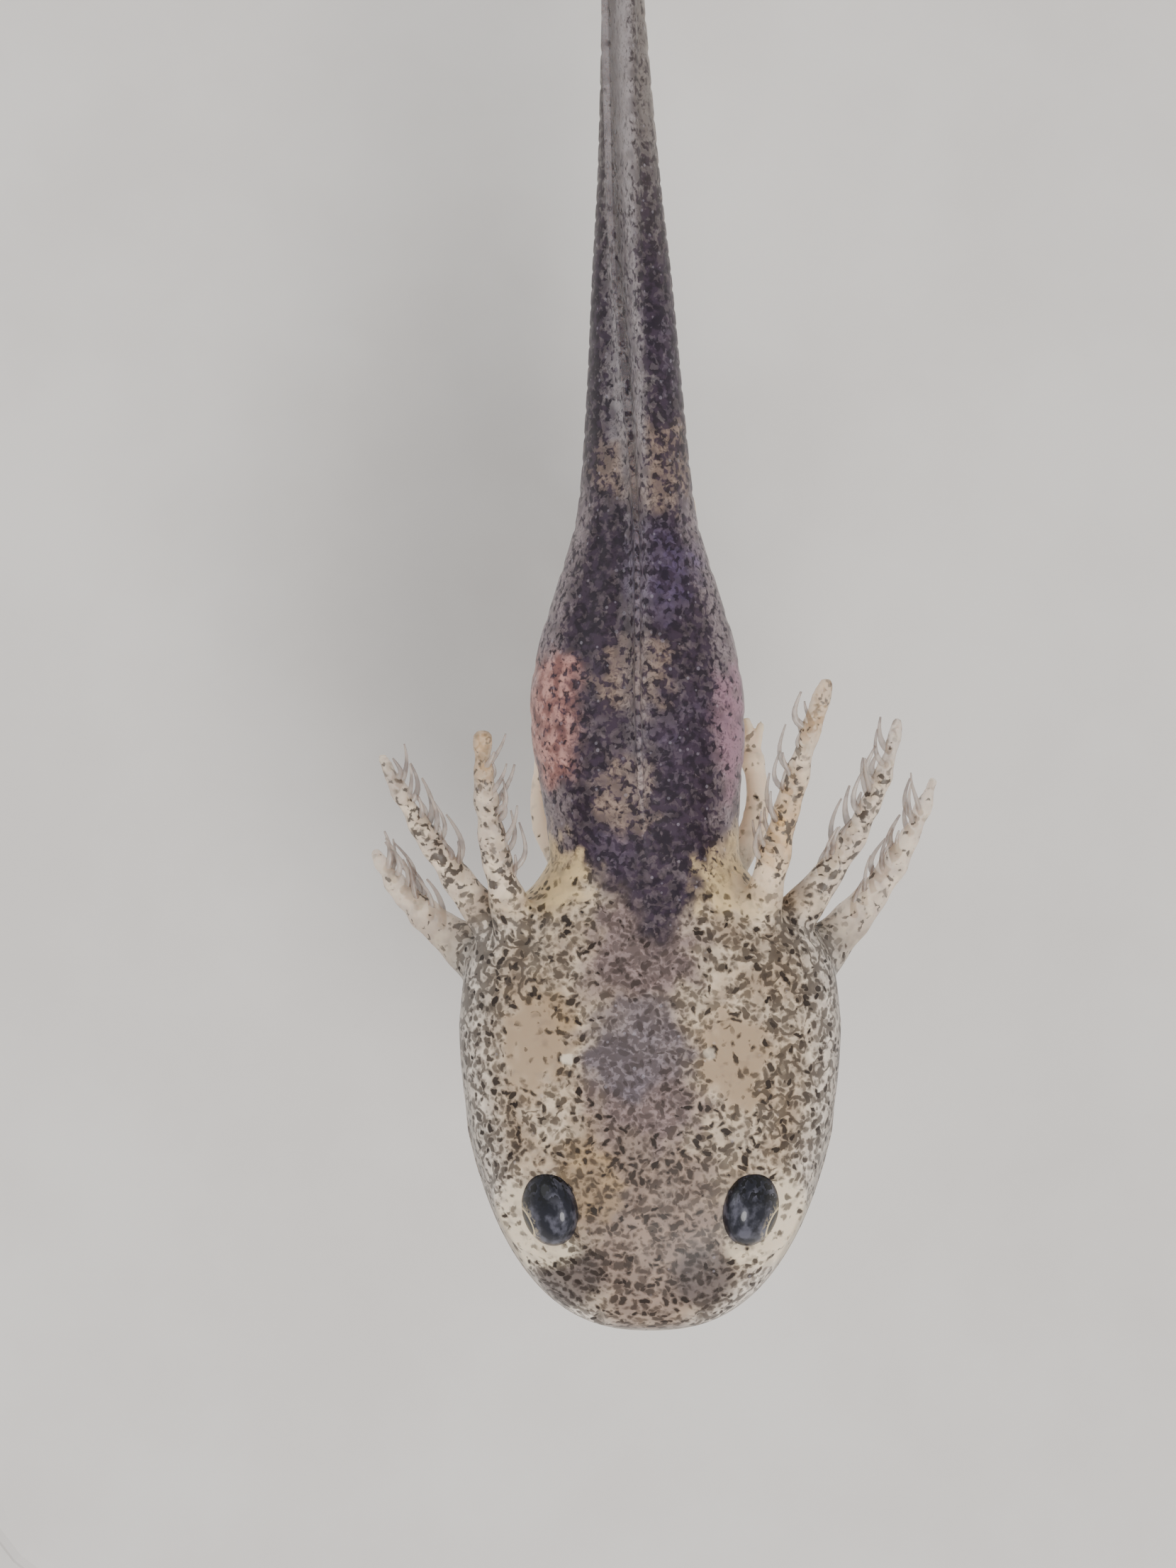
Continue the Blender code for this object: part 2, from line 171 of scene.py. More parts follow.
# Gill filaments: where their rows start along a stem, how far they go on, and how each row leans
FILAMENTS_START, FILAMENTS_STRETCH = 0.26, 0.62
FILAMENT_LEANS = (0.75, -0.35)

# Smoothing rounds: after fusing, at the roots of limbs, before carving and after it
FUSED_ROUNDS, ROOT_ROUNDS, EVEN_ROUNDS, LAST_ROUNDS = 6, 14, 4, 1

# Regions of the skin, each as spots given by (x, behind the snout, reach across, reach along)
ON_TOP = {
    "brain": ((-0.14, 3.45, 0.86, 0.72),),
    "nape": ((-0.1, 4.65, 0.95, 1.0), (-0.15, 2.75, 0.95, 0.6)),
    "patch": ((-1.38, 3.5, 0.52, 0.85), (1.06, 3.3, 0.5, 0.85)),
    "honey": ((-0.72, 1.9, 0.5, 0.85), (-1.15, 3.95, 0.4, 0.5)),
    "snout": ((0.0, 1.3, 1.15, 1.9),),
    "tan": (
        (-0.2, 7.98, 0.58, 0.55), (-0.32, 6.45, 0.5, 0.62), (-0.1, 10.5, 0.9, 0.65), (0.35, 11.0, 0.3, 0.3),
    ),
    "violet": ((0.14, 9.3, 0.62, 0.8),),
    "indigo": ((0.35, 7.2, 0.45, 0.8), (-0.5, 5.8, 0.4, 0.5), (0.2, 12.0, 0.4, 0.8)),
}
SEAM_SPOTS = (
    (-0.93, 3.1, 0.2, 0.5), (0.55, 3.3, 0.22, 0.95), (-0.8, 2.72, 0.35, 0.25), (0.6, 2.78, 0.3, 0.28),
    (-0.62, 3.9, 0.2, 0.6), (0.42, 4.3, 0.2, 0.6), (0.68, 0.72, 0.5, 0.34), (-0.62, 4.75, 0.25, 0.5),
    (-1.0, 0.72, 0.45, 0.3),
)
NASAL_SPOTS = ((-0.98, 0.7, 0.55, 0.55), (0.66, 0.66, 0.52, 0.52))
ORBIT_SPOTS = (
    (-1.6, 1.25, 0.42, 0.75), (-1.25, 0.98, 0.5, 0.28), (1.63, 1.35, 0.4, 0.8), (1.3, 0.98, 0.5, 0.28),
)
CORNER_SPOTS = ((-1.85, 4.5, 0.75, 0.8), (1.75, 4.5, 0.75, 0.8), (1.6, 3.0, 0.5, 1.0))
SHOULDER_SPOTS = ((-1.3, 5.5, 0.7, 0.62), (1.08, 5.5, 0.66, 0.7))
GUT_SPOTS = ((-1.27, 7.15, 0.6, 0.9), (-1.12, 7.9, 0.46, 0.7))
ROSY_SPOTS = ((0.95, 7.3, 0.42, 1.0),)

# Pigment cells: spacing and size of the single ones, and how far they are drawn out
CELLS = (0.096, 0.035, 1.9)
SPECKS = (0.08, 0.024)
SHINING_CELLS = (0.11, 0.02)

# How much of each region is bare of pigment cells
BARE = {
    "patch": 0.9, "shoulder": 0.68, "orbit": 0.75, "tan": 0.45, "leg": 0.75, "gut": 0.5, "rosy": 0.55,
    # On the fins the bare share is partly their clear skin, partly painted light that keeps pigment off the
    # shaded sides of the trunk's low fin.
    "violet": 0.25, "tail_pale": 0.6, "fin_tail": 0.5, "fin": 0.4,
}

# Stage, in metres. Lights: name, place, size of the disc, watts and colour
LIGHTS = (
    ("key", (0.04, -0.1, 0.15), 0.08, 0.26, (1, 0.98, 0.95)),
    ("fill", (-0.12, 0.06, 0.1), 0.12, 0.05, (0.95, 0.97, 1)),
)
SKY_COLOUR = (0.98, 0.99, 1.0, 1)
FLOOR_HALF = 0.6
SENSOR_WIDTH = 36
GRAIN_DEPTH = 0.00002

FLESH = (
    "head", "lower_jaw", "trunk", "tail_root", "tail_middle", "tail_tip", "dorsal_fin_trunk",
    "dorsal_fin_tail", "ventral_fin",
    *("gill_" + name for name in GILL_PATHS),
    *(limb + "_" + side for limb in ("foreleg", "forefoot", "hindleg") for side in SIDES),
)


# --- The body's law ---


def smooth(share):
    share = np.clip(share, 0.0, 1.0)
    return share * share * (3 - 2 * share)


def rise(value, start, over):
    """From nothing at the start smoothly to one."""
    return smooth((value - start) / over)


def fall(value, start, over):
    """From one at the start smoothly to nothing."""
    return 1 - rise(value, start, over)


def bell(away, width):
    """One at nothing away, and falling off to both sides."""
    return np.exp(-((away / width) ** 2))


def through(knots, places):
    """A monotone cubic through the knots, at an array of places."""
    x, y = np.array(knots).T
    places = np.clip(places, x[0], x[-1])
    rises = np.diff(y) / np.diff(x)
    before, after = rises[:-1], rises[1:]
    turning = before * after <= 0
    inner = np.where(turning, 0.0, 2 * before * after / np.where(turning, 1.0, before + after))
    slopes = np.concatenate(([rises[0]], inner, [rises[-1]]))
    i = np.clip(np.searchsorted(x, places) - 1, 0, len(x) - 2)
    span = x[i + 1] - x[i]
    t = (places - x[i]) / span
    return (
        (1 + 2 * t) * (1 - t) ** 2 * y[i] + t * (1 - t) ** 2 * span * slopes[i]
        + t * t * (3 - 2 * t) * y[i + 1] + t * t * (t - 1) * span * slopes[i + 1]
    )


def profile(knots, reach, places):
    """A body outline: rounded from the snout to its reach, and through the knots behind it."""
    ahead = np.clip(1 - places / reach, 0, 1)
    front = knots[0][1] * (1 - ahead ** SNOUT_FLATNESS) ** (1 / SNOUT_BLUNTNESS)
    return np.where(places < reach, front, through(knots, places))


def half_width(places):
    return profile(HALF_WIDTHS, HEAD_REACH, places)


def height(places):
    return profile(HEIGHTS, CROWN_REACH, places)


def depth(places):
    return profile(DEPTHS, THROAT_REACH, places)


def squareness(places):
    share = rise(places, HEAD_REACH, HEAD_END - HEAD_REACH)
    return HEAD_SQUARENESS + (BODY_SQUARENESS - HEAD_SQUARENESS) * share


def axis_x(places):
    return BODY_SHIFT * rise(places, 4, 4) + TAIL_SHIFT * rise(places, TAIL_START, BODY_LENGTH - TAIL_START)


def twist(places):
    return TAIL_TWIST * rise(places, TAIL_START, 5)


def from_body(out, place, up):
    """Points given as out, behind the snout and up from the body's bent axis."""
    turn = twist(place)
    x = axis_x(place) + out * np.cos(turn) - up * np.sin(turn)
    z = out * np.sin(turn) + up * np.cos(turn)
    return np.stack(np.broadcast_arrays(x, SNOUT.y + place, SNOUT.z + z), axis=-1)


def to_body(points):
    """The reverse of from_body, for an array of points."""
    place = points[:, 1] - SNOUT.y
    turn = twist(place)
    x = points[:, 0] - axis_x(place)
    z = points[:, 2] - SNOUT.z
    return x * np.cos(turn) + z * np.sin(turn), place, z * np.cos(turn) - x * np.sin(turn)


def from_head(point):
    """A point given as out, behind the snout and up from the head's straight axis."""
    out, behind, up = point
    return Vector((out, SNOUT.y + behind, SNOUT.z + up))


def curve_through(points):
    """A quadratic curve that passes through its three points, as a function of its share."""
    start, middle, end = (from_head(point) for point in points)
    handle = middle * 2 - (start + end) / 2
    return lambda t: start * (1 - t) ** 2 + handle * 2 * t * (1 - t) + end * t * t


# --- Making meshes ---


def lofted(rings):
    """Vertices and faces of a tube through an array of rings, closed by a fan at each end."""
    rows, count = rings.shape[:2]
    i, j = np.meshgrid(np.arange(rows - 1), np.arange(count), indexing="ij")
    k = (j + 1) % count
    quads = np.stack([i * count + j, i * count + k, (i + 1) * count + k, (i + 1) * count + j], -1)
    faces = quads.reshape(-1, 4).tolist()
    last = (rows - 1) * count
    for a in range(count):
        b = (a + 1) % count
        faces.append([b, a, rows * count])
        faces.append([last + a, last + b, rows * count + 1])
    return np.concatenate([rings.reshape(-1, 3), [rings[0].mean(axis=0), rings[-1].mean(axis=0)]]), faces


def linked(name, data):
    made = bpy.data.objects.new(name, data)
    bpy.context.scene.collection.objects.link(made)
    return made


def smooth_object(name, mesh, bm):
    bm.to_mesh(mesh)
    bm.free()
    mesh.shade_smooth()
    return linked(name, mesh)


def mesh_object(name, vertices, faces, scale=1.0):
    """A mesh object with its faces turned outwards."""
    mesh = bpy.data.meshes.new(name)
    mesh.from_pydata((np.asarray(vertices) * scale).tolist(), [], faces)
    bm = bmesh.new()
    bm.from_mesh(mesh)
    bmesh.ops.recalc_face_normals(bm, faces=bm.faces)
    return smooth_object(name, mesh, bm)


def joined(name, parts, scale=1.0):
    """One mesh object from several (vertices, faces) pairs."""
    vertices, faces, count = [], [], 0
    for part_vertices, part_faces in parts:
        vertices.append(np.asarray(part_vertices))
        faces += [[count + corner for corner in face] for face in part_faces]
        count += len(part_vertices)
    return mesh_object(name, np.concatenate(vertices), faces, scale)


def tube(points, radii, around, spread=1.0):
    """A round tube along its points, with a rounded tip."""
    points = [Vector(p) for p in points]
    rings = []
    for i, (point, radius) in enumerate(zip(points, radii)):
        ahead = points[min(i + 1, len(points) - 1)]
        behind = points[max(i - 1, 0)]
        forward = (ahead - behind).normalized()
        side = forward.cross(Vector((0, 0, 1)))
        if side.length < 0.01:
            side = Vector((1, 0, 0))
        side.normalize()
        lift = side.cross(forward)
        angles = np.linspace(0, 2 * math.pi, around, endpoint=False)
        ring = (
            np.array(point) + np.outer(np.cos(angles) * radius * spread, side)
            + np.outer(np.sin(angles) * radius, lift)
        )
        rings.append(ring)
    return lofted(np.array(rings))


def rounded(radius_at, count):
    """Shares along a tube and its radii there, drawn in over the last steps to a round tip."""
    shares = np.linspace(0, 1, count)
    radii = np.array([radius_at(share) for share in shares])
    tip = radii[-1]
    closing = np.sin(np.linspace(0, math.pi / 2, 6)[1:])
    return shares, radii, [(tip * lift, tip * math.sqrt(max(0.0, 1 - lift * lift))) for lift in closing]


def limb(path, radius_at, count=24, around=20, spread=1.0):
    """A leg or gill stem along its path, whose radius is a function of the share along it."""
    along = curve_through(path)
    shares, radii, cap = rounded(radius_at, count)
    points = [along(share) for share in shares]
    forward = (along(1.0) - along(0.97)).normalized()
    points += [along(1.0) + forward * ahead for ahead, _ in cap]
    radii = [*radii, *(max(radius, 0.004) for _, radius in cap)]
    return tube(points, radii, around, spread)


def applied(source, name):
    """A new mesh with the object's modifiers applied; the object goes."""
    mesh = bpy.data.meshes.new_from_object(source.evaluated_get(bpy.context.evaluated_depsgraph_get()))
    mesh.name = name
    plain = source.data
    bpy.data.objects.remove(source)
    bpy.data.meshes.remove(plain)
    return mesh


# --- The skin's form ---


def brow_swelling(out, place, up):
    away = np.sqrt((np.abs(out) - EYE_OUT) ** 2 + (place - EYE_BEHIND_SNOUT) ** 2 + (up - EYE_UP) ** 2)
    return BROW_RISE * (1 - smooth(away / (EYE_RADIUS + BROW_SPREAD)))


def body_core():
    """Muscle and skull without fins, as rings close enough for the voxels."""
    front = HEAD_REACH * (1 - np.cos(np.linspace(0.02, math.pi / 2, 60)))
    places = np.concatenate([front, np.arange(HEAD_REACH + 0.05, BODY_LENGTH - 0.3, 0.06)])[:, None]
    angles = np.linspace(0, 2 * math.pi, 144, endpoint=False)[None, :]
    exponent = 2 / squareness(places)
    out = half_width(places) * np.sign(np.cos(angles)) * np.abs(np.cos(angles)) ** exponent
    lift = np.sign(np.sin(angles)) * np.abs(np.sin(angles)) ** exponent
    up = lift * np.where(lift > 0, height(places), depth(places))
    swell = 1 + brow_swelling(out, places, up) / np.maximum(np.hypot(out, up), 0.5)
    return lofted(from_body(out * swell, places, up * swell))


def fin_blade(lift_knots, first, last, upward):
    """A fin as a blade: thick where it leaves the back, thin along its edge."""
    places = np.linspace(first, last, 220)
    sign = 1 if upward else -1
    body = height(places) if upward else depth(places)
    rings = []
    for place, low, skin, lift in zip(places, body * 0.45, body, through(lift_knots, places)):
        ends = smooth((place - first) / 0.5) * smooth((last - place) / 0.3)
        ups = low + (skin + lift - low) * np.linspace(0, 1, 22)
        clear = np.clip((ups - skin) / max(lift, 0.05), 0, 1)
        thick = (FIN_EDGE + FIN_FOOT * np.exp(-clear * 6)) * (0.35 + 0.65 * ends)
        thick[-1] *= 0.7
        out = np.concatenate([thick, -thick[::-1]])
        up = np.concatenate([ups, ups[::-1]]) * sign
        rings.append(from_body(out, np.full(len(out), place), up))
    return lofted(np.array(rings))


def stem_radius(share, root, tip, phase):
    """A gill stem: flared at its root, then slim, with low knobs where filaments grow."""
    flare = 0.14 * math.exp(-share / 0.16)
    knobs = 0.01 * math.sin(share * 41 + phase) + 0.01 * math.sin(share * 23 + 2 * phase)
    return root + (tip - root) * share ** 1.25 + flare + knobs * min(1, share * 4)


def tapered(taper, share):
    return taper[0] - taper[1] * share


def foreleg_radius(share):
    """Flared at the shoulder, with a soft elbow and a slim wrist."""
    shoulder = 0.12 * math.exp(-share / 0.15)
    elbow = 0.025 * bell(share - 0.5, 0.12)
    return tapered(FORELEG_TAPER, share) + shoulder + elbow + 0.03 * rise(share, 0.88, 0.12)


def finger_paths(side):
    """The forefoot's short fingers, fanned out from the wrist."""
    for spread, reach in FINGERS:
        out, behind, up = WRIST
        middle = (side * (out - 0.01 + spread * 0.3), behind + reach * 0.55, up - 0.02)
        end = (side * (out - 0.04 + spread * 0.55), behind + reach, up - 0.03)
        yield (side * out, behind, up), middle, end


def sided(path, side):
    return [(side * out, behind, up) for out, behind, up in path]


def leg_paths():
    for side in SIDES.values():
        yield sided(FORELEG_PATH, side)
        yield sided(HINDLEG_PATH, side)


def limbs():
    parts = []
    for number, (name, path) in enumerate(GILL_PATHS.items()):
        root, tip, _ = GILL_BUILD[name.split("_")[1]]

        def radius_at(share, root=root, tip=tip, phase=number * 1.7):
            return stem_radius(share, root, tip, phase)

        parts.append(limb(path, radius_at, count=50, spread=1.1))
    for side in SIDES.values():
        parts.append(limb(sided(FORELEG_PATH, side), foreleg_radius))
        for path in finger_paths(side):
            parts.append(limb(path, lambda t: tapered(FINGER_TAPER, t), count=10, around=12))
        parts.append(limb(sided(HINDLEG_PATH, side), lambda t: tapered(HINDLEG_TAPER, t)))
    return parts


def eye_middle(side):
    return Vector((side * EYE_OUT, SNOUT.y + EYE_BEHIND_SNOUT, SNOUT.z + EYE_UP))


def eye_matrix(side):
    """Places a unit ball as the eyeball, with its pupil on +Z looking out and a little ahead."""
    size = Matrix.Diagonal((EYE_RADIUS, EYE_RADIUS, EYE_RADIUS * EYE_FLATNESS, 1))
    turn = Matrix.Rotation(-side * EYE_FORWARD, 4, "Z") @ Matrix.Rotation(side * EYE_TILT, 4, "Y")
    return Matrix.Translation(eye_middle(side)) @ turn @ size


def ball(name):
    """A ball of radius one; its own coordinates serve the eye's finish."""
    bm = bmesh.new()
    bmesh.ops.create_uvsphere(bm, u_segments=96, v_segments=48, radius=1)
    return smooth_object(name, bpy.data.meshes.new(name), bm)


def read(items, key, width=1, kind=np.float64):
    """One property of every item as an array, in rows where it has a width."""
    values = np.empty(len(items) * width, dtype=kind)
    items.foreach_get(key, values)
    return values if width == 1 else values.reshape(-1, width)


def rough_skin(voxel):
    """Everything of flesh fused into one closed surface."""
    fins_end = BODY_LENGTH - 0.02
    dorsal = fin_blade(DORSAL_FIN, FINS_START[0], fins_end, True)
    ventral = fin_blade(VENTRAL_FIN, FINS_START[1], fins_end, False)
    whole = joined("whole", [body_core(), dorsal, ventral, *limbs()])
    fuse = whole.modifiers.new("fuse", "REMESH")
    fuse.mode = "VOXEL"
    fuse.voxel_size = voxel
    return applied(whole, "skin")


class Surface:
    """The skin's mesh as arrays, with its neighbours, for smoothing and sculpting."""

    def __init__(self, mesh):
        self.mesh = mesh
        self.points = read(mesh.vertices, "co", 3)
        self.edges = read(mesh.edges, "vertices", 2, np.int64)
        self.valence = np.bincount(self.edges.ravel(), minlength=len(self.points))[:, None]

    def mean_of_neighbours(self, values):
        a, b = self.edges.T
        total = np.zeros_like(values)
        for column in range(values.shape[1]):
            total[:, column] = np.bincount(a, values[b, column], len(values))
            total[:, column] += np.bincount(b, values[a, column], len(values))
        return total / self.valence

    def step(self, amount):
        """Moves each point towards the mean of its neighbours, or away from it."""
        self.points += (self.mean_of_neighbours(self.points) - self.points) * amount

    def relax(self, rounds):
        """Smooths without shrinking: each step in is followed by a step out."""
        for _ in range(rounds):
            self.step(0.5)
            self.step(-0.52)

    def melt(self, rounds, where):
        """Smooths and lets hollows fill, for the roots of gills and legs."""
        for _ in range(rounds):
            self.step(0.5 * where)

    def normals(self):
        """Hands the points to the mesh, and reads its normals there."""
        self.mesh.vertices.foreach_set("co", self.points.ravel())
        self.mesh.update()
        return read(self.mesh.vertices, "normal", 3)

    def push(self, amount):
        self.points += self.normals() * amount[:, None]

    def mask(self, name, values):
        attribute = self.mesh.attributes.new(name, "FLOAT", "POINT")
        attribute.data.foreach_set("value", np.clip(values, 0, 1).astype(np.float32))


def near_path(points, path):
    """Distance from each point to a path, and the share along it of the nearest place."""
    along = curve_through(path)
    best = np.full(len(points), np.inf)
    share = np.zeros(len(points))
    for t in np.linspace(0, 1, 60):
        away = np.linalg.norm(points - np.array(along(t)), axis=1)
        closer = away < best
        best[closer] = away[closer]
        share[closer] = t
    return best, share


def limb_masks(points):
    """Gill, share along it, gill pigment, gold of the gills, and leg, each for every vertex."""
    gill, along, pigment, gold, leg = np.zeros((5, len(points)))
    for name, path in GILL_PATHS.items():
        side, level = name.split("_")
        away, share = near_path(points, path)
        part = fall(away, 0.32, 0.16) * rise(share, 0.08, 0.2)
        nearest = part > gill
        along = np.where(nearest, share, along)
        pigment = np.where(nearest, GILL_BUILD[level][2] * fall(share, 0.7, 0.2), pigment)
        middle = bell(share - 0.47, 0.2) * (name == "left_upper")
        tip = (level == "upper") * rise(share, 0.72, 0.15)
        gold = np.where(nearest, np.maximum(tip, middle), gold)
        gill = np.maximum(gill, part)
    for path in leg_paths():
        away, share = near_path(points, path)
        leg = np.maximum(leg, fall(away, 0.26, 0.14) * rise(share, 0.1, 0.3))
    for side in SIDES.values():
        for path in finger_paths(side):
            leg = np.maximum(leg, fall(near_path(points, path)[0], 0.15, 0.1))
    return gill, along, pigment * gill, gold * gill, leg


def roots(points):
    """Where gills and legs leave the body, for melting the join."""
    found = np.zeros(len(points))
    for path in GILL_PATHS.values():
        away, share = near_path(points, path)
        found = np.maximum(found, fall(away, 0.25, 0.45) * fall(share, 0.32, 0.2))
    for path in leg_paths():
        away, share = near_path(points, path)
        found = np.maximum(found, fall(away, 0.2, 0.3) * fall(share, 0.4, 0.3))
    return found


def from_nostril(out, place, up):
    """How far points of the snout's top are from the nearer nostril, in plan."""
    return np.hypot(np.abs(out) - NOSTRIL_OUT, place - NOSTRIL_BEHIND_SNOUT) + 3 * np.maximum(0, -up)


def sculpt(surface):
    """The folds and grooves that the voxels leave out."""
    out, place, up = to_body(surface.points)
    mouth = MOUTH_RISE * rise(place, 1.5, MOUTH_CORNER - 1.5) - MOUTH_DROP
    amount = sum(bell(up - mouth - lift, width) * swelling for lift, width, swelling in MOUTH_FOLDS)
    amount *= fall(place, MOUTH_CORNER - 0.35, 0.4)

    for side in SIDES.values():
        toward = (surface.points - np.array(eye_middle(side))) / EYE_RADIUS
        axis = np.array(eye_matrix(side).to_3x3().col[2].normalized())
        off = np.linalg.norm(toward - np.outer(toward @ axis, axis), axis=1)
        amount += EYE_RIM * bell(off - 1.08, 0.17) * smooth(toward @ axis / 0.3 + 0.8)
    nostril = from_nostril(out, place, up)
    amount += NOSTRIL_SWELLING * bell(nostril, 0.15) - NOSTRIL_PIT * bell(nostril, 0.06)

    ridges = bell(np.abs(out) - 0.42, 0.3) - bell(out, 0.16)
    amount += BACK_RIDGES * ridges * rise(up, 0.4, 0.3) * rise(place, 4.2, 1.0) * fall(place, 10, 1.5)

    flank = np.maximum(rise(np.abs(out), 0.35, 0.3) * rise(place, 5.8, 0.6), rise(place, 9.5, 1))
    segment = 0.62 - 0.2 * rise(place, 9, 6)
    bend = np.abs(up) * 0.35 * rise(place, 9.5, 2)
    groove = rise(np.cos((place - bend) / segment * 2 * math.pi), 0.55, 0.45)
    amount -= RIB_GROOVES * groove * flank * fall(np.abs(up), height(place) * 0.85, 0.15)

    throat = place - THROAT_BEHIND_SNOUT + 0.35 * (out / 1.6) ** 2
    fold = THROAT_FOLD * bell(throat + 0.07, 0.08) - THROAT_GROOVE * bell(throat - 0.05, 0.05)
    amount += fold * rise(-up, 0.3, 0.4) * fall(np.abs(out), 1.7, 0.3)
    surface.push(amount)


def sculpted_skin(voxel):
    """The whole form: fused, smoothed, with soft joins at the limbs, and then carved."""
    surface = Surface(rough_skin(voxel))
    surface.relax(FUSED_ROUNDS)
    surface.melt(ROOT_ROUNDS, roots(surface.points)[:, None])
    surface.relax(EVEN_ROUNDS)
    sculpt(surface)
    surface.relax(LAST_ROUNDS)
    return surface


# --- Shader graphs ---


def overload(operation):
    return lambda value, other: value.maths(operation, other)


class Value:
    """A shader socket that adds the nodes it needs when Python works on it."""

    def __init__(self, graph, socket):
        self.graph = graph
        self.socket = socket

    def maths(self, operation, *others, clamp=False):
        settings = {"operation": operation, "use_clamp": clamp}
        return self.graph.node("ShaderNodeMath", settings, self, *others)

    __add__ = __radd__ = overload("ADD")
    __sub__ = overload("SUBTRACT")
    __mul__ = __rmul__ = overload("MULTIPLY")
    __truediv__ = overload("DIVIDE")
    at_least = overload("MAXIMUM")

    def __rsub__(self, other):
        return self.graph.node("ShaderNodeMath", {"operation": "SUBTRACT"}, other, self)

    def __abs__(self):
        return self.maths("ABSOLUTE")

    def cut(self):
        """Nothing below -0.5, one above 0.5, and a straight edge between."""
        return self.maths("ADD", 0.5, clamp=True)

    def ramp(self, low, high, start=0.0, end=1.0):
        """Rises smoothly from start at low to end at high."""
        settings = {"interpolation_type": "SMOOTHSTEP"}
        inputs = {"Value": self, "From Min": low, "From Max": high, "To Min": start, "To Max": end}
        return self.graph.node("ShaderNodeMapRange", settings, **inputs)


def strongest(first, *others):
    for other in others:
        first = first.at_least(other)
    return first


class Graph:
    """One material's nodes."""

    def __init__(self, name, **constants):
        self.material = bpy.data.materials.new(name)
        self.material.use_nodes = True
        self.tree = self.material.node_tree
        self.shader = self.tree.nodes["Principled BSDF"]
        for socket, value in constants.items():
            self.shader.inputs[socket.replace("_", " ")].default_value = value

    def fill(self, socket, value):
        if isinstance(value, Value):
            self.tree.links.new(value.socket, socket)
        elif socket.type == "RGBA" and len(value) == 3:
            socket.default_value = (*value, 1)
        else:
            socket.default_value = value

    def node(self, kind, settings=None, *values, output=0, **named):
        """A node from its type, its settings, and the values or links of its sockets."""
        made = self.tree.nodes.new(kind)
        for key, value in (settings or {}).items():
            setattr(made, key, value)
        for index, value in enumerate(values):
            self.fill(made.inputs[index], value)
        for key, value in named.items():
            self.fill(made.inputs[key], value)
        if isinstance(output, tuple):
            return [Value(self, made.outputs[key]) for key in output]
        return Value(self, made.outputs[output])

    def give(self, **links):
        for socket, value in links.items():
            self.fill(self.shader.inputs[socket.replace("_", " ")], value)

    def vectors(self, operation, *values, output=0, **named):
        return self.node("ShaderNodeVectorMath", {"operation": operation}, *values, output=output, **named)

    def mask(self, name):
        return self.node("ShaderNodeAttribute", {"attribute_name": name}, output="Fac")

    def place(self, scale=1 / MM):
        """Object coordinates, in millimetres."""
        return self.vectors("SCALE", self.node("ShaderNodeTexCoord", output="Object"), Scale=scale)

    def blend(self, low, high, share):
        """A colour between two colours."""
        made = self.tree.nodes.new("ShaderNodeMix")
        made.data_type = "RGBA"
        made.clamp_factor = True
        inputs = {socket.identifier: socket for socket in made.inputs}
        self.fill(inputs["Factor_Float"], share)
        self.fill(inputs["A_Color"], low)
        self.fill(inputs["B_Color"], high)
        outputs = {socket.identifier: socket for socket in made.outputs}
        return Value(self, outputs["Result_Color"])

    def noise(self, place, size, detail=2.0, roughness=0.5, output="Fac"):
        inputs = {"Vector": place, "Scale": 1 / size, "Detail": detail, "Roughness": roughness}
        return self.node("ShaderNodeTexNoise", None, output=output, **inputs)

    def wobbled(self, place, size, amount):
        """The place moved about by noise, so that round things drawn there turn irregular."""
        centred = self.vectors("SUBTRACT", self.noise(place, size, output="Color"), (0.5, 0.5, 0.5))
        return self.vectors("ADD", place, self.vectors("SCALE", centred, Scale=2 * amount))

    def strokes(self, place, size, share, soft=0.035):
        """Branching pigment cells, which stand apart where the share is low and join where it is high."""
        body = self.noise(place, size, detail=1.6, roughness=0.62) - (0.67 - 0.3 * share)
        return (body / soft).cut()

    def worms(self, place, size, width, share):
        """A winding net of thin lines, broken up where the share is low."""
        line = abs(self.noise(place, size, detail=0.6) - 0.5)
        whole = 1 - line.ramp(width * 0.5, width * 1.3)
        gaps = self.noise(place, size * 0.8, detail=1.0) - (0.72 - 0.42 * share)
        return whole * (gaps / 0.06).cut()

    def dots(self, place, spacing, size, share, edge=0.3):
        """Single round cells, one to each jittered place whose lot is under the share."""
        inputs = {"Vector": place, "Scale": 1 / spacing, "Randomness": 0.85}
        away, lot = self.node("ShaderNodeTexVoronoi", None, output=("Distance", "Color"), **inputs)
        lots = self.node("ShaderNodeSeparateColor", None, lot, output=(0, 1, 2))
        reach = (lots[1] * 0.55 + 0.7) * (size / spacing)
        body = (reach - away) / (edge * size / spacing)
        whole = body.cut() * ((share - lots[0]) * 12).cut()
        return whole * (lots[2] * 0.4 + 0.68)

    def rods(self, place, spacing, size, stretch, share):
        """Short strokes that lie every way: round cells drawn out along three directions."""
        layers = []
        for turn in (12, 71, 134):
            inputs = {"Vector": place, "Angle": math.radians(turn)}
            turned = self.node("ShaderNodeVectorRotate", {"rotation_type": "Z_AXIS"}, **inputs)
            drawn = self.vectors("MULTIPLY", turned, (1 / stretch, 1.0, 0.8))
            layers.append(self.dots(drawn, spacing, size, share, 0.6))
        return strongest(*layers)

    def near(self, place, point, reach):
        """One at the point in plan, fading to nothing at its reach."""
        flat = self.vectors("MULTIPLY", place, (1.0, 1.0, 0.0))
        return self.vectors("DISTANCE", flat, point, output="Value").ramp(reach, reach * 0.45)

    def bump(self, grain, strength):
        inputs = {"Height": grain, "Strength": strength, "Distance": GRAIN_DEPTH}
        return self.node("ShaderNodeBump", None, **inputs)


# --- Skin finish ---


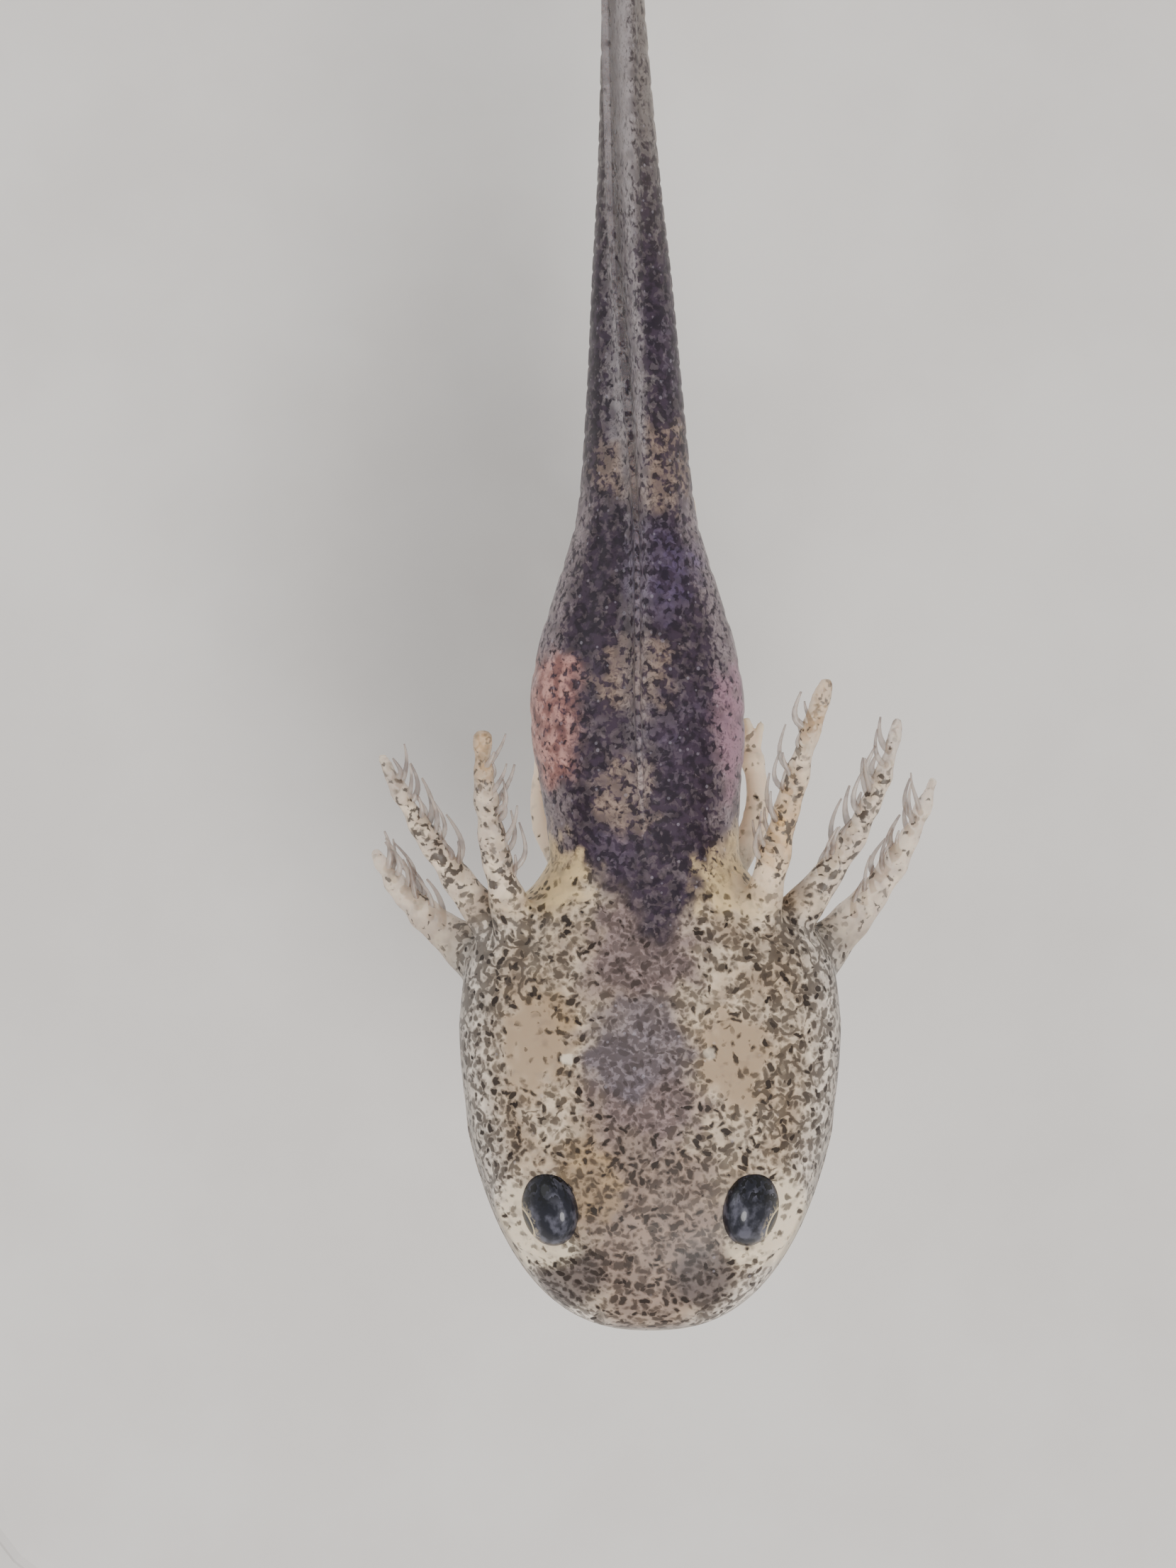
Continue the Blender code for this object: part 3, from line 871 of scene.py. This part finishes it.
def spots(x, y, middles_and_reaches):
    """The strongest of several round spots, each one at its middle and nothing at its reach."""
    return np.max([
        fall(np.hypot((x - across) / reach_across, (y - behind) / reach_along), 0.5, 0.5)
        for across, behind, reach_across, reach_along in middles_and_reaches
    ], axis=0)


def region_masks(surface):
    """Named regions of the body, each a share from nothing to one at every vertex."""
    out, place, up = to_body(surface.points)
    x = surface.points[:, 0]
    points = [Vector(point) for point in surface.points]
    coarse, fine = (np.array([noise.noise(point * size) for point in points]) for size in (2.1, 6.0))
    ragged = coarse * 0.3 + fine * 0.14
    ragged_x = x + coarse * 0.14 - fine * 0.2
    ragged_place = place + ragged
    wide = half_width(place)
    across = out / wide
    tall = np.where(up > 0, height(place), depth(place))
    above = rise(up, -0.3, 0.5)
    head = fall(place, 4.75, 0.5)

    gill, along, gill_pigment, gill_gold, leg = limb_masks(surface.points)
    # Gill pigment only on upward-facing skin, so the stems' sides stay pale: partly their own pattern,
    # partly painted light shining through the thin edges.
    gill_pigment *= rise(surface.normals()[:, 2], -0.15, 0.8)
    body = (1 - gill) * (1 - leg)
    front = 5.75 - 0.85 * bell(x - 0.08, 0.6)
    high = rise(up, 0.85, 0.6)
    rear = smooth((ragged_place - 9.75 + high * (0.9 + coarse * 0.9)) / (0.9 + high * 1.9)) * (1 - leg)
    fin = rise(np.abs(up), tall * 0.96, 0.16) * rise(place, 5.9, 0.6) * body
    fin *= fall(np.abs(out), 0.2, 0.12) * (place > 5.8)
    left_band = rise(across, 0.4, 0.35) * 0.55 * fall(place, 13.6, 1.6) + rise(across, 0.84, 0.1) * 0.45

    masks = {name: spots(ragged_x, ragged_place, places) * above for name, places in ON_TOP.items()}
    masks["brain"] *= 1 + 0.35 * coarse
    masks |= {
        "above": above,
        "fin": fin,
        "fin_edge": rise(np.abs(up), tall, 1.1) * fin,
        "fin_tail": fin * rear,
        "rear": rear,
        "gill": gill,
        "along": along,
        "gill_pigment": gill_pigment,
        "gill_gold": gill_gold,
        "leg": leg,
        "seam": spots(x + ragged * 0.4, place, SEAM_SPOTS) * above,
        "shoulder": spots(x + fine * 0.3, ragged_place, SHOULDER_SPOTS),
        "nasal": spots(x, place, NASAL_SPOTS) * above,
        "orbit": spots(x, place, ORBIT_SPOTS),
        "trunk": rise(ragged_place, front - 0.2, 0.45) * body,
        "flank": rise(np.abs(across), 0.6, 0.3) * rise(place, 5.4, 0.5),
        "gut": (
            spots(ragged_x + fine * 0.25, ragged_place + coarse * 0.2, GUT_SPOTS) * fall(up, 0.75, 0.3)
        ),
        "rosy": spots(ragged_x, ragged_place, ROSY_SPOTS) * fall(up, 0.55, 0.4),
        "tail": rise(place, 12.4, 2.8),
        "tail_band": rear * np.maximum(rise(-across, 0.62, 0.12), left_band) * fall(place, 18.5, 2),
        "tail_pale": rear * bell(across + 0.28, 0.3),
        # Margin: the head's edges, paled in the finish; partly the clear skin's own colour, partly painted
        # light shining through the thin edge.
        "margin": fall(wide - np.abs(out), 0, 0.6) * head,
        "corner": spots(x, place, CORNER_SPOTS) * head,
        # Rim: the head's outer edge and the snout's front, which the finish darkens as a painted dark
        # outline (painted shade).
        "rim": np.maximum(
            rise(np.abs(across), 0.95, 0.03) * rise(place, 0.4, 0.5), fall(place, 0.04, 0.05) * above
        ) * head,
        # Nostril: the finish darkens it as painted shade in the nostril pits.
        "nostril": bell(from_nostril(out, place, up), 0.07),
        # Lip: a band along the mouth that the finish darkens as painted shade in the mouth's crease under
        # the snout's edge.
        "lip": fall(up, -0.04, 0.1) * rise(up, -0.42, 0.1) * fall(place, 2.6, 0.4),
    }
    for name, values in masks.items():
        surface.mask(name, values)


def ground_colour(graph, colours, place):
    """The skin's colour between its pigment cells, region by region."""
    mottle = graph.noise(place, 0.5, detail=4, roughness=0.6).ramp(0.34, 0.66)
    ground = graph.blend(colours.cream, colours.sand, mottle)

    def mottled(low, high, size, first, last, detail=3):
        return graph.blend(low, high, graph.noise(place, size, detail=detail).ramp(first, last))

    def tint(low, *steps):
        for name, colour, strength in steps:
            low = graph.blend(low, colour, graph.mask(name) * strength)
        return low

    # The margin's pale pearl is partly the clear skin's own colour, partly painted light shining through
    # the thin edge.
    ground = tint(
        ground, ("margin", colours.pearl, 0.8), ("snout", colours.rosy_tan, 0.85),
        ("honey", colours.honey, 0.7), ("nape", colours.mauve, 0.95), ("brain", colours.blue_grey, 0.95),
        ("patch", colours.buff, 0.9), ("nasal", colours.slate, 0.85), ("orbit", colours.pearl_yellow, 0.8),
    )
    trunk = mottled(colours.plum, colours.ash, 0.16, 0.4, 0.62)
    trunk = tint(trunk, ("flank", colours.flank, 0.8))
    ground = graph.blend(ground, trunk, graph.mask("trunk"))
    tail = mottled(colours.tail_dusk, colours.tail_grey, 0.3, 0.38, 0.64)
    tail = tint(tail, ("tail", colours.tail_end, 0.8), ("tail_pale", colours.fin, 0.5))
    ground = graph.blend(ground, tail, graph.mask("rear"))
    food = mottled(colours.gut, colours.gut_deep, 0.2, 0.42, 0.62)
    ground = tint(
        ground, ("violet", colours.violet, 0.7), ("indigo", colours.violet, 0.3),
        ("tan", colours.tan, 0.82), ("gut", food, 0.95), ("rosy", colours.rosy_plum, 0.7),
        ("shoulder", colours.yolk, 0.85),
    )
    ground = graph.blend(colours.belly, ground, graph.mask("above") * 0.85 + 0.15)
    # Fins get the clear-fin colour, their own paleness; on the trunk's low fin this also paints light over
    # the fin's shaded sides and the crease at its foot.
    fins = (graph.mask("fin_tail") * 0.7).at_least(graph.mask("fin") * 0.4)
    ground = graph.blend(ground, colours.fin, fins)
    stem = mottled(colours.gill_cream, colours.gill_grey, 0.34, 0.42, 0.6, detail=2)
    ground = graph.blend(ground, stem, graph.mask("gill"))
    return tint(ground, ("gill_gold", colours.gill_gold, 0.95), ("leg", colours.leg, 0.9))


def pigment_share(graph):
    """How thickly the pigment cells lie, region by region."""
    bare = strongest(*(graph.mask(name) * strength for name, strength in BARE.items()))
    return (1 - bare) * (graph.mask("above") * 0.7 + 0.3)


def skin_material(name, colours, clear):
    """The skin's finish; the clear one also lets light through fins and gills."""
    graph = Graph(
        name, Subsurface_Weight=0.3, Subsurface_Radius=(1.0, 0.62, 0.45),
        Subsurface_Scale=0.00018, IOR=1.25, Coat_Weight=0.12, Coat_Roughness=0.16, Coat_IOR=1.3,
    )
    place = graph.place()
    ragged = graph.wobbled(graph.wobbled(place, 0.17, 0.055), 0.06, 0.028)
    above, gill, trunk, rear, tail = map(graph.mask, ("above", "gill", "trunk", "rear", "tail"))
    margin, brain, corner, nape = map(graph.mask, ("margin", "brain", "corner", "nape"))
    ground = ground_colour(graph, colours, place)
    density = pigment_share(graph)
    drift = graph.noise(place, 0.9, detail=2).ramp(0.3, 0.7, 0.75, 1.1)
    body = trunk.at_least(rear)
    clumps = graph.strokes(ragged, 0.115, graph.mask("gill_pigment") * 0.4, 0.07) * gill

    crowded = 1.2 + graph.mask("seam") * 0.95 + corner * 0.45 + nape * 0.3 + graph.mask("snout") * 0.3
    head_share = density * drift * crowded
    cells = graph.rods(ragged, *CELLS, head_share * (1 - brain * 0.5) * (1 - gill * 0.85))
    net = graph.worms(ragged, 0.22, 0.06, (corner * 0.9 + margin * 0.4 + 0.3) * density)
    specks = graph.dots(graph.wobbled(place, 0.05, 0.02), *SPECKS, density * (0.7 - gill * 0.5))
    hazy = brain.at_least(nape * 0.8)
    haze = graph.strokes(ragged, 0.08, hazy * 0.62, 0.1) * hazy
    head = strongest(cells, net * 0.85, specks * 0.65, haze * 0.7, clumps)

    band = graph.mask("tail_band")
    thick = density * drift * (0.93 - graph.mask("flank") * 0.5)
    body_share = (thick + band * 0.55 - tail * 0.28).at_least(0)
    blotches = graph.strokes(ragged, 0.095, body_share, 0.15)
    mesh = graph.strokes(ragged, 0.048, body_share * 0.85, 0.15) * 0.6
    smoke = graph.strokes(place, 0.26, body_share * 0.9, 0.2) * 0.55
    dark = head * (1 - body) + strongest(blotches, mesh, smoke) * body
    # Painted shade: a dark band along the mouth (lip), dark nostril pits, and a dark outline round the
    # head's edge (rim).
    dark = strongest(dark, graph.mask("lip") * 0.5, graph.mask("nostril") * 0.8, graph.mask("rim") * 0.4)

    under = graph.strokes(place, 0.2, density * 0.75, 0.16)
    colour = graph.blend(ground, colours.shade, under * 0.3)
    drift_of_hue = graph.noise(place, 0.12, detail=3).ramp(0.42, 0.6)
    bluish = graph.blend(colours.pigment_blue, colours.pigment_plum, drift_of_hue)
    pigment = graph.blend(colours.pigment, bluish, body)
    pigment = graph.blend(pigment, colours.pigment_grey, strongest(brain * 0.7, margin * 0.3, tail * 0.7))
    colour = graph.blend(colour, pigment, dark * 0.92)
    sparkle = graph.dots(place, *SHINING_CELLS, (trunk * 0.4 + brain * 0.3 + 0.05) * above)
    colour = graph.blend(colour, colours.sparkle, sparkle * 0.22)
    for point, reach, strength in OTOLITHS:
        stone = graph.near(ragged, point, reach) * above * strength
        colour = graph.blend(colour, colours.otolith, stone)

    roughness = graph.noise(place, 0.25).ramp(0.3, 0.7, 0.36, 0.52)
    grain = graph.noise(place, 0.05, detail=3)
    graph.give(Base_Color=colour, Roughness=roughness, Normal=graph.bump(grain, 0.12))
    if clear:
        thin = gill * (0.52 - graph.mask("gill_pigment") * 0.24 + graph.mask("along") * 0.12)
        graph.give(Alpha=1 - graph.mask("fin_edge") * 0.55 - thin * (1 - dark * 0.6))
    return graph.material


def split_finish(surface, colours):
    """Gives the clear finish to the faces of fins and gills, and the plain one to the rest."""
    mesh = surface.mesh
    mesh.materials.clear()
    mesh.materials.append(skin_material("larva skin", colours, False))
    mesh.materials.append(skin_material("larva clear skin", colours, True))
    fin, gill = (
        read(mesh.attributes[name].data, "value", kind=np.float32) for name in ("fin_edge", "gill")
    )
    corners = read(mesh.loops, "vertex_index", kind=np.int32)
    first = read(mesh.polygons, "loop_start", kind=np.int32)
    thinnest = np.maximum.reduceat(np.maximum(fin, gill)[corners], first)
    mesh.polygons.foreach_set("material_index", (thinnest > 0).astype(np.int32))


# --- Eyes ---


def eye_material(name, colours, side):
    """Blue-black, with a pale gold rim round the pupil that looks out sideways."""
    graph = Graph(
        name, Specular_IOR_Level=0.15, Roughness=0.3, Coat_Weight=0.6, Coat_Roughness=0.04, Coat_IOR=1.33,
    )
    own = graph.place(1.0)
    gaze = (side * math.sin(PUPIL_TURN), -PUPIL_AHEAD, math.cos(PUPIL_TURN) * 0.98)
    facing = graph.vectors("DOT_PRODUCT", own, gaze, output="Value")
    ahead = graph.node("ShaderNodeSeparateXYZ", None, own, output="Y")
    flecks = graph.noise(own, 0.14, detail=4)
    # Bluish haze patches on the ball: partly the eye's own tone, partly a painted reflection of the sky on
    # the wet eye.
    colour = graph.blend(colours.eye, colours.eye_haze, graph.noise(own, 0.42, detail=3).ramp(0.44, 0.68))
    colour = graph.blend(colour, colours.eye_dark, graph.strokes(own, 0.2, 0.5) * ahead.ramp(-0.2, 0.4))
    iris = facing.ramp(0.8, 0.9) * flecks.ramp(0.52, 0.44)
    colour = graph.blend(colour, colours.iris, iris * ahead.ramp(0.85, 0.4) * 0.35)
    colour = graph.blend(colour, colours.iris, facing.ramp(*RING_EDGE) * (0.5 + flecks * 0.6))
    colour = graph.blend(colour, colours.eye_dark, facing.ramp(*PUPIL_EDGE))
    graph.give(Base_Color=colour)
    return graph.material


# --- Gill filaments ---


def filaments(path, rng, sizes):
    """Two rows of soft curved threads along the back edge of a gill, swept towards its tip."""
    along = curve_through(path)
    inward = -1 if path[2][0] > 0 else 1
    parts = []
    for lean in FILAMENT_LEANS:
        for i in range(sizes.filaments):
            step = (i + rng.uniform(0.05, 0.95)) / sizes.filaments
            share = FILAMENTS_START + FILAMENTS_STRETCH * step
            start = along(share)
            forward = (along(min(1, share + 0.03)) - along(share - 0.03)).normalized()
            across = Vector((inward, 0.35, lean + rng.uniform(-0.25, 0.25)))
            across = (across - forward * across.dot(forward)).normalized()
            reach = sizes.filament_length / MM * rng.uniform(0.5, 1.25) * (1.15 - 0.4 * share)
            sway = Vector((rng.uniform(-0.3, 0.3), 0, rng.uniform(-0.25, 0.25)))
            points, radii = [], []
            thick = sizes.filament_radius / MM * rng.uniform(0.8, 1.2)
            for t in np.linspace(0, 1, 10):
                spread = across * (0.95 * t - 0.4 * t * t)
                wave = sway * math.sin(3.8 * t) * 0.4
                points.append(start + (spread + wave + forward * (0.15 * t + 0.6 * t * t)) * reach)
                radii.append(thick * (1.2 - 0.9 * t ** 1.2))
            parts.append(tube(points, radii, 8))
    return parts


def filament_material(colours):
    graph = Graph(
        "gill filament", Subsurface_Weight=0.4, Subsurface_Radius=(1.0, 0.6, 0.4),
        Subsurface_Scale=0.0001, Roughness=0.35, Coat_Weight=0.2, Coat_Roughness=0.1, Alpha=0.55,
    )
    darker = graph.noise(graph.place(), 0.25).ramp(0.46, 0.62) * 0.8
    graph.give(Base_Color=graph.blend(colours.filament, colours.filament_dark, darker))
    return graph.material


# --- Stand and stage ---


def stand_material(colours):
    """Fine matt moulded plastic."""
    graph = Graph("stand matt", IOR=1.45)
    place = graph.place()
    tone = graph.noise(place, 3.0, detail=5, roughness=0.55).ramp(0.3, 0.7)
    grain = graph.noise(place, 0.12, detail=3)
    graph.give(
        Base_Color=graph.blend(colours.stand, colours.stand_light, tone),
        Roughness=grain.ramp(0.3, 0.7, 0.5, 0.62), Normal=graph.bump(grain, 0.08),
    )
    return graph.material


def floor_material(colours):
    graph = Graph("stage floor", Roughness=0.75)
    graph.give(Base_Color=graph.blend(colours.floor, colours.floor_light, graph.noise(graph.place(), 12.0)))
    return graph.material


def area_light(name, place, size, power, colour):
    """A round lamp that faces the animal."""
    lamp = bpy.data.lights.new(name, "AREA")
    lamp.shape = "DISK"
    lamp.size = size
    lamp.energy = power
    lamp.color = colour
    made = linked(name, lamp)
    made.location = place
    aim = Vector((0, 0, SNOUT.z * MM)) - Vector(place)
    made.rotation_euler = aim.to_track_quat("-Z", "Y").to_euler()


# --- Settings ---


def metres(name, description, default):
    return FloatProperty(
        name=name, description=description, default=default, unit="LENGTH", subtype="DISTANCE", precision=6
    )


def rgb(name, description, default):
    return FloatVectorProperty(
        name=name, description=description, default=default, subtype="COLOR", size=3, min=0, max=1
    )


class LarvaSizes(bpy.types.PropertyGroup):
    """Sizes of what the solids leave out."""

    voxel: metres("Skin fineness", "Spacing of the skin's vertices", 0.035 * MM)
    filament_length: metres("Filament length", "Length of a gill filament", 0.62 * MM)
    filament_radius: metres("Filament radius", "Radius of a gill filament at its root", 0.041 * MM)
    filaments: IntProperty(name="Filaments", description="Filaments in each row of a gill", default=7)


class LarvaColours(bpy.types.PropertyGroup):
    """Colours of the living skin, eyes and stand."""

    cream: rgb("Cream", "Lightest ground of the head", (0.64, 0.51, 0.375))
    sand: rgb("Sand", "Darker ground of the head", (0.45, 0.33, 0.22))
    # Pearl: partly the clear margins' own colour, partly painted light shining through the thin edge.
    pearl: rgb("Pearl", "Clear margins of the head", (0.85, 0.765, 0.67))
    pearl_yellow: rgb("Yellow pearl", "Skin round the eyes", (0.72, 0.6, 0.44))
    rosy_tan: rgb("Rosy tan", "Ground of the snout", (0.24, 0.165, 0.133))
    honey: rgb("Honey", "Golden patch between the eyes", (0.36, 0.24, 0.12))
    mauve: rgb("Mauve", "Ground of the nape", (0.26, 0.185, 0.178))
    blue_grey: rgb("Blue grey", "Brain seen through the skin", (0.2, 0.165, 0.19))
    buff: rgb("Buff", "Clear cheek patches", (0.35, 0.25, 0.162))
    slate: rgb("Slate", "Nasal sacs seen through the skin", (0.1, 0.08, 0.077))
    plum: rgb("Plum", "Deep tone of the trunk", (0.07, 0.05, 0.06))
    ash: rgb("Ash", "Light tone of the trunk", (0.152, 0.117, 0.13))
    flank: rgb("Flank", "Clear sides of the trunk", (0.33, 0.265, 0.275))
    violet: rgb("Violet", "Rear of the trunk", (0.115, 0.082, 0.17))
    tan: rgb("Tan", "Patches along the back", (0.295, 0.21, 0.162))
    gut_deep: rgb("Deep gut", "Darker parts of the food", (0.26, 0.105, 0.09))
    gut: rgb("Gut", "Food seen through the right flank", (0.5, 0.265, 0.225))
    rosy_plum: rgb("Rosy plum", "Left flank", (0.315, 0.155, 0.215))
    yolk: rgb("Yolk", "Yellow behind the head", (0.69, 0.51, 0.265))
    tail_dusk: rgb("Tail dusk", "Deep tone of the tail", (0.1, 0.078, 0.088))
    tail_grey: rgb("Tail grey", "Light tone of the tail", (0.2, 0.172, 0.172))
    tail_end: rgb("Tail end", "End of the tail", (0.215, 0.188, 0.168))
    belly: rgb("Belly", "Pale underside", (0.50, 0.43, 0.35))
    fin: rgb("Fin", "Clear fins", (0.342, 0.304, 0.3135))
    gill_cream: rgb("Gill cream", "Gill stems", (0.9, 0.72, 0.53))
    gill_grey: rgb("Gill grey", "Duller tone of the gill stems", (0.74, 0.58, 0.44))
    gill_gold: rgb("Gill gold", "Gold of the upper gills", (0.76, 0.47, 0.2))
    leg: rgb("Leg", "Legs", (0.9, 0.71, 0.53))
    shade: rgb("Shade", "Deep cells seen through the skin", (0.12, 0.095, 0.09))
    pigment: rgb("Pigment", "Pigment cells", (0.018, 0.011, 0.008))
    pigment_blue: rgb("Deep pigment", "Pigment cells of the trunk", (0.014, 0.009, 0.016))
    pigment_plum: rgb("Plum pigment", "Paler pigment cells of the trunk", (0.04, 0.025, 0.042))
    pigment_grey: rgb("Grey pigment", "Pigment cells of brain and margins", (0.05, 0.037, 0.036))
    sparkle: rgb("Sparkle", "Shining cells", (0.48, 0.44, 0.50))
    otolith: rgb("Ear stone", "Ear stones seen through the skin", (0.66, 0.56, 0.44))
    eye: rgb("Eye", "Ball of the eye", (0.01, 0.0102, 0.0165))
    # Eye haze: partly the eye's own bluish tone, partly a painted reflection of the sky.
    eye_haze: rgb("Eye haze", "Blue haze in the eye", (0.0825, 0.0808, 0.104))
    eye_dark: rgb("Eye dark", "Pupil, and specks on the eye", (0.003, 0.003, 0.004))
    iris: rgb("Iris", "Pale gold rim of the pupil", (0.62, 0.50, 0.30))
    filament: rgb("Filament", "Gill filaments", (0.46, 0.385, 0.33))
    filament_dark: rgb("Dark filament", "Darker stretches of the filaments", (0.18, 0.13, 0.11))
    stand: rgb("Stand", "Stand", (0.64, 0.605, 0.575))
    stand_light: rgb("Light stand", "Lighter tone of the stand", (0.69, 0.66, 0.63))
    floor: rgb("Floor", "Floor", (0.6, 0.58, 0.555))
    floor_light: rgb("Light floor", "Lighter tone of the floor", (0.645, 0.625, 0.6))


class LarvaStage(bpy.types.PropertyGroup):
    """Where the camera looks from, and the light."""

    frame_height: metres("Frame height", "Height of the view across the animal", 19.134 * MM)
    distance: metres("Distance", "Camera above the body's axis", 150 * MM)
    centre_x: metres("Centre across", "Middle of the view, from the head's axis", -0.757 * MM)
    centre_back: metres("Centre back", "Middle of the view, behind the snout", 6.652 * MM)
    sky: FloatProperty(name="Sky", description="Strength of the even light", default=0.85, min=0)


# --- Operators ---


class LARVA_OT_skin(bpy.types.Operator):
    """Make the one skin that covers head, body, fins, gills and legs"""

    bl_idname = "larva.skin"
    bl_label = "Skin"

    def execute(self, context):
        sizes = context.scene.larva_sizes
        surface = sculpted_skin(sizes.voxel / MM * (1))
        region_masks(surface)
        surface.points *= MM
        surface.normals()
        surface.mesh.shade_smooth()
        split_finish(surface, context.scene.larva_colours)
        skin = linked("larva_skin", surface.mesh)
        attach(skin, "root")
        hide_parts(*FLESH)
        return {"FINISHED"}


class LARVA_OT_eyes(bpy.types.Operator):
    """Make both eyeballs"""

    bl_idname = "larva.eyes"
    bl_label = "Eyes"

    def execute(self, context):
        for word, side in SIDES.items():
            eye = ball("eyeball_" + word)
            eye.data.materials.append(eye_material("eye " + word, context.scene.larva_colours, side))
            eye.matrix_world = Matrix.Scale(MM, 4) @ eye_matrix(side)
            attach(eye, "root")
            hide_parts("eye_" + word)
        return {"FINISHED"}


class LARVA_OT_filaments(bpy.types.Operator):
    """Make the fringe of filaments on each gill"""

    bl_idname = "larva.filaments"
    bl_label = "Gill filaments"

    def execute(self, context):
        rng = np.random.default_rng(7)
        material = filament_material(context.scene.larva_colours)
        for name, path in GILL_PATHS.items():
            threads = filaments(path, rng, context.scene.larva_sizes)
            fringe = joined("gill_filaments_" + name, threads, MM)
            fringe.data.materials.append(material)
            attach(fringe, "root")
        return {"FINISHED"}


class LARVA_OT_stand(bpy.types.Operator):
    """Give the display stand its finish"""

    bl_idname = "larva.stand"
    bl_label = "Stand"

    def execute(self, context):
        material = stand_material(context.scene.larva_colours)
        for name in ("stand_base", "stand_rod_front", "stand_rod_rear"):
            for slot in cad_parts[name].material_slots:
                slot.material = material
        return {"FINISHED"}


class LARVA_OT_stage(bpy.types.Operator):
    """Make the floor, the light and the camera"""

    bl_idname = "larva.stage"
    bl_label = "Stage"

    def execute(self, context):
        scene = context.scene
        stage = scene.larva_stage
        corners = [(x, y, 0) for x, y in ((-1, -1), (1, -1), (1, 1), (-1, 1))]
        floor = mesh_object("floor", corners, [[0, 1, 2, 3]], FLOOR_HALF)
        floor.data.materials.append(floor_material(scene.larva_colours))
        world = bpy.data.worlds.new("soft sky")
        world.use_nodes = True
        sky = world.node_tree.nodes["Background"].inputs
        sky["Color"].default_value = SKY_COLOUR
        sky["Strength"].default_value = stage.sky
        scene.world = world
        for light in LIGHTS:
            area_light(*light)
        camera = bpy.data.cameras.new("camera")
        camera.sensor_width = SENSOR_WIDTH
        camera.lens = SENSOR_WIDTH * stage.distance / stage.frame_height
        camera.clip_start = 0.01
        camera.clip_end = 10
        scene.camera = linked("camera", camera)
        back = SNOUT.y * MM + stage.centre_back
        scene.camera.location = (stage.centre_x, back, SNOUT.z * MM + stage.distance)
        return {"FINISHED"}


class LARVA_PT_panel(bpy.types.Panel):
    """Steps of the larva, in order"""

    bl_label = "Axolotl Larva"
    bl_idname = "LARVA_PT_panel"
    bl_space_type = "VIEW_3D"
    bl_region_type = "UI"
    bl_category = "Larva"

    def draw(self, context):
        for step in STEPS:
            self.layout.operator(step.bl_idname)
        for group in (context.scene.larva_sizes, context.scene.larva_stage, context.scene.larva_colours):
            box = self.layout.box()
            for key in group.bl_rna.properties.keys():
                if key not in ("rna_type", "name"):
                    box.prop(group, key)


STEPS = (LARVA_OT_skin, LARVA_OT_eyes, LARVA_OT_filaments, LARVA_OT_stand, LARVA_OT_stage)
SETTINGS = {"larva_sizes": LarvaSizes, "larva_colours": LarvaColours, "larva_stage": LarvaStage}


def register():
    for made in (*SETTINGS.values(), *STEPS, LARVA_PT_panel):
        bpy.utils.register_class(made)
    for name, group in SETTINGS.items():
        setattr(bpy.types.Scene, name, PointerProperty(type=group))


def unregister():
    for name in SETTINGS:
        delattr(bpy.types.Scene, name)
    for made in (LARVA_PT_panel, *reversed(STEPS), *reversed(SETTINGS.values())):
        bpy.utils.unregister_class(made)


def main():
    register()
    for step in STEPS:
        family, name = step.bl_idname.split(".")
        getattr(getattr(bpy.ops, family), name)()


if __name__ == "__main__":
    main()
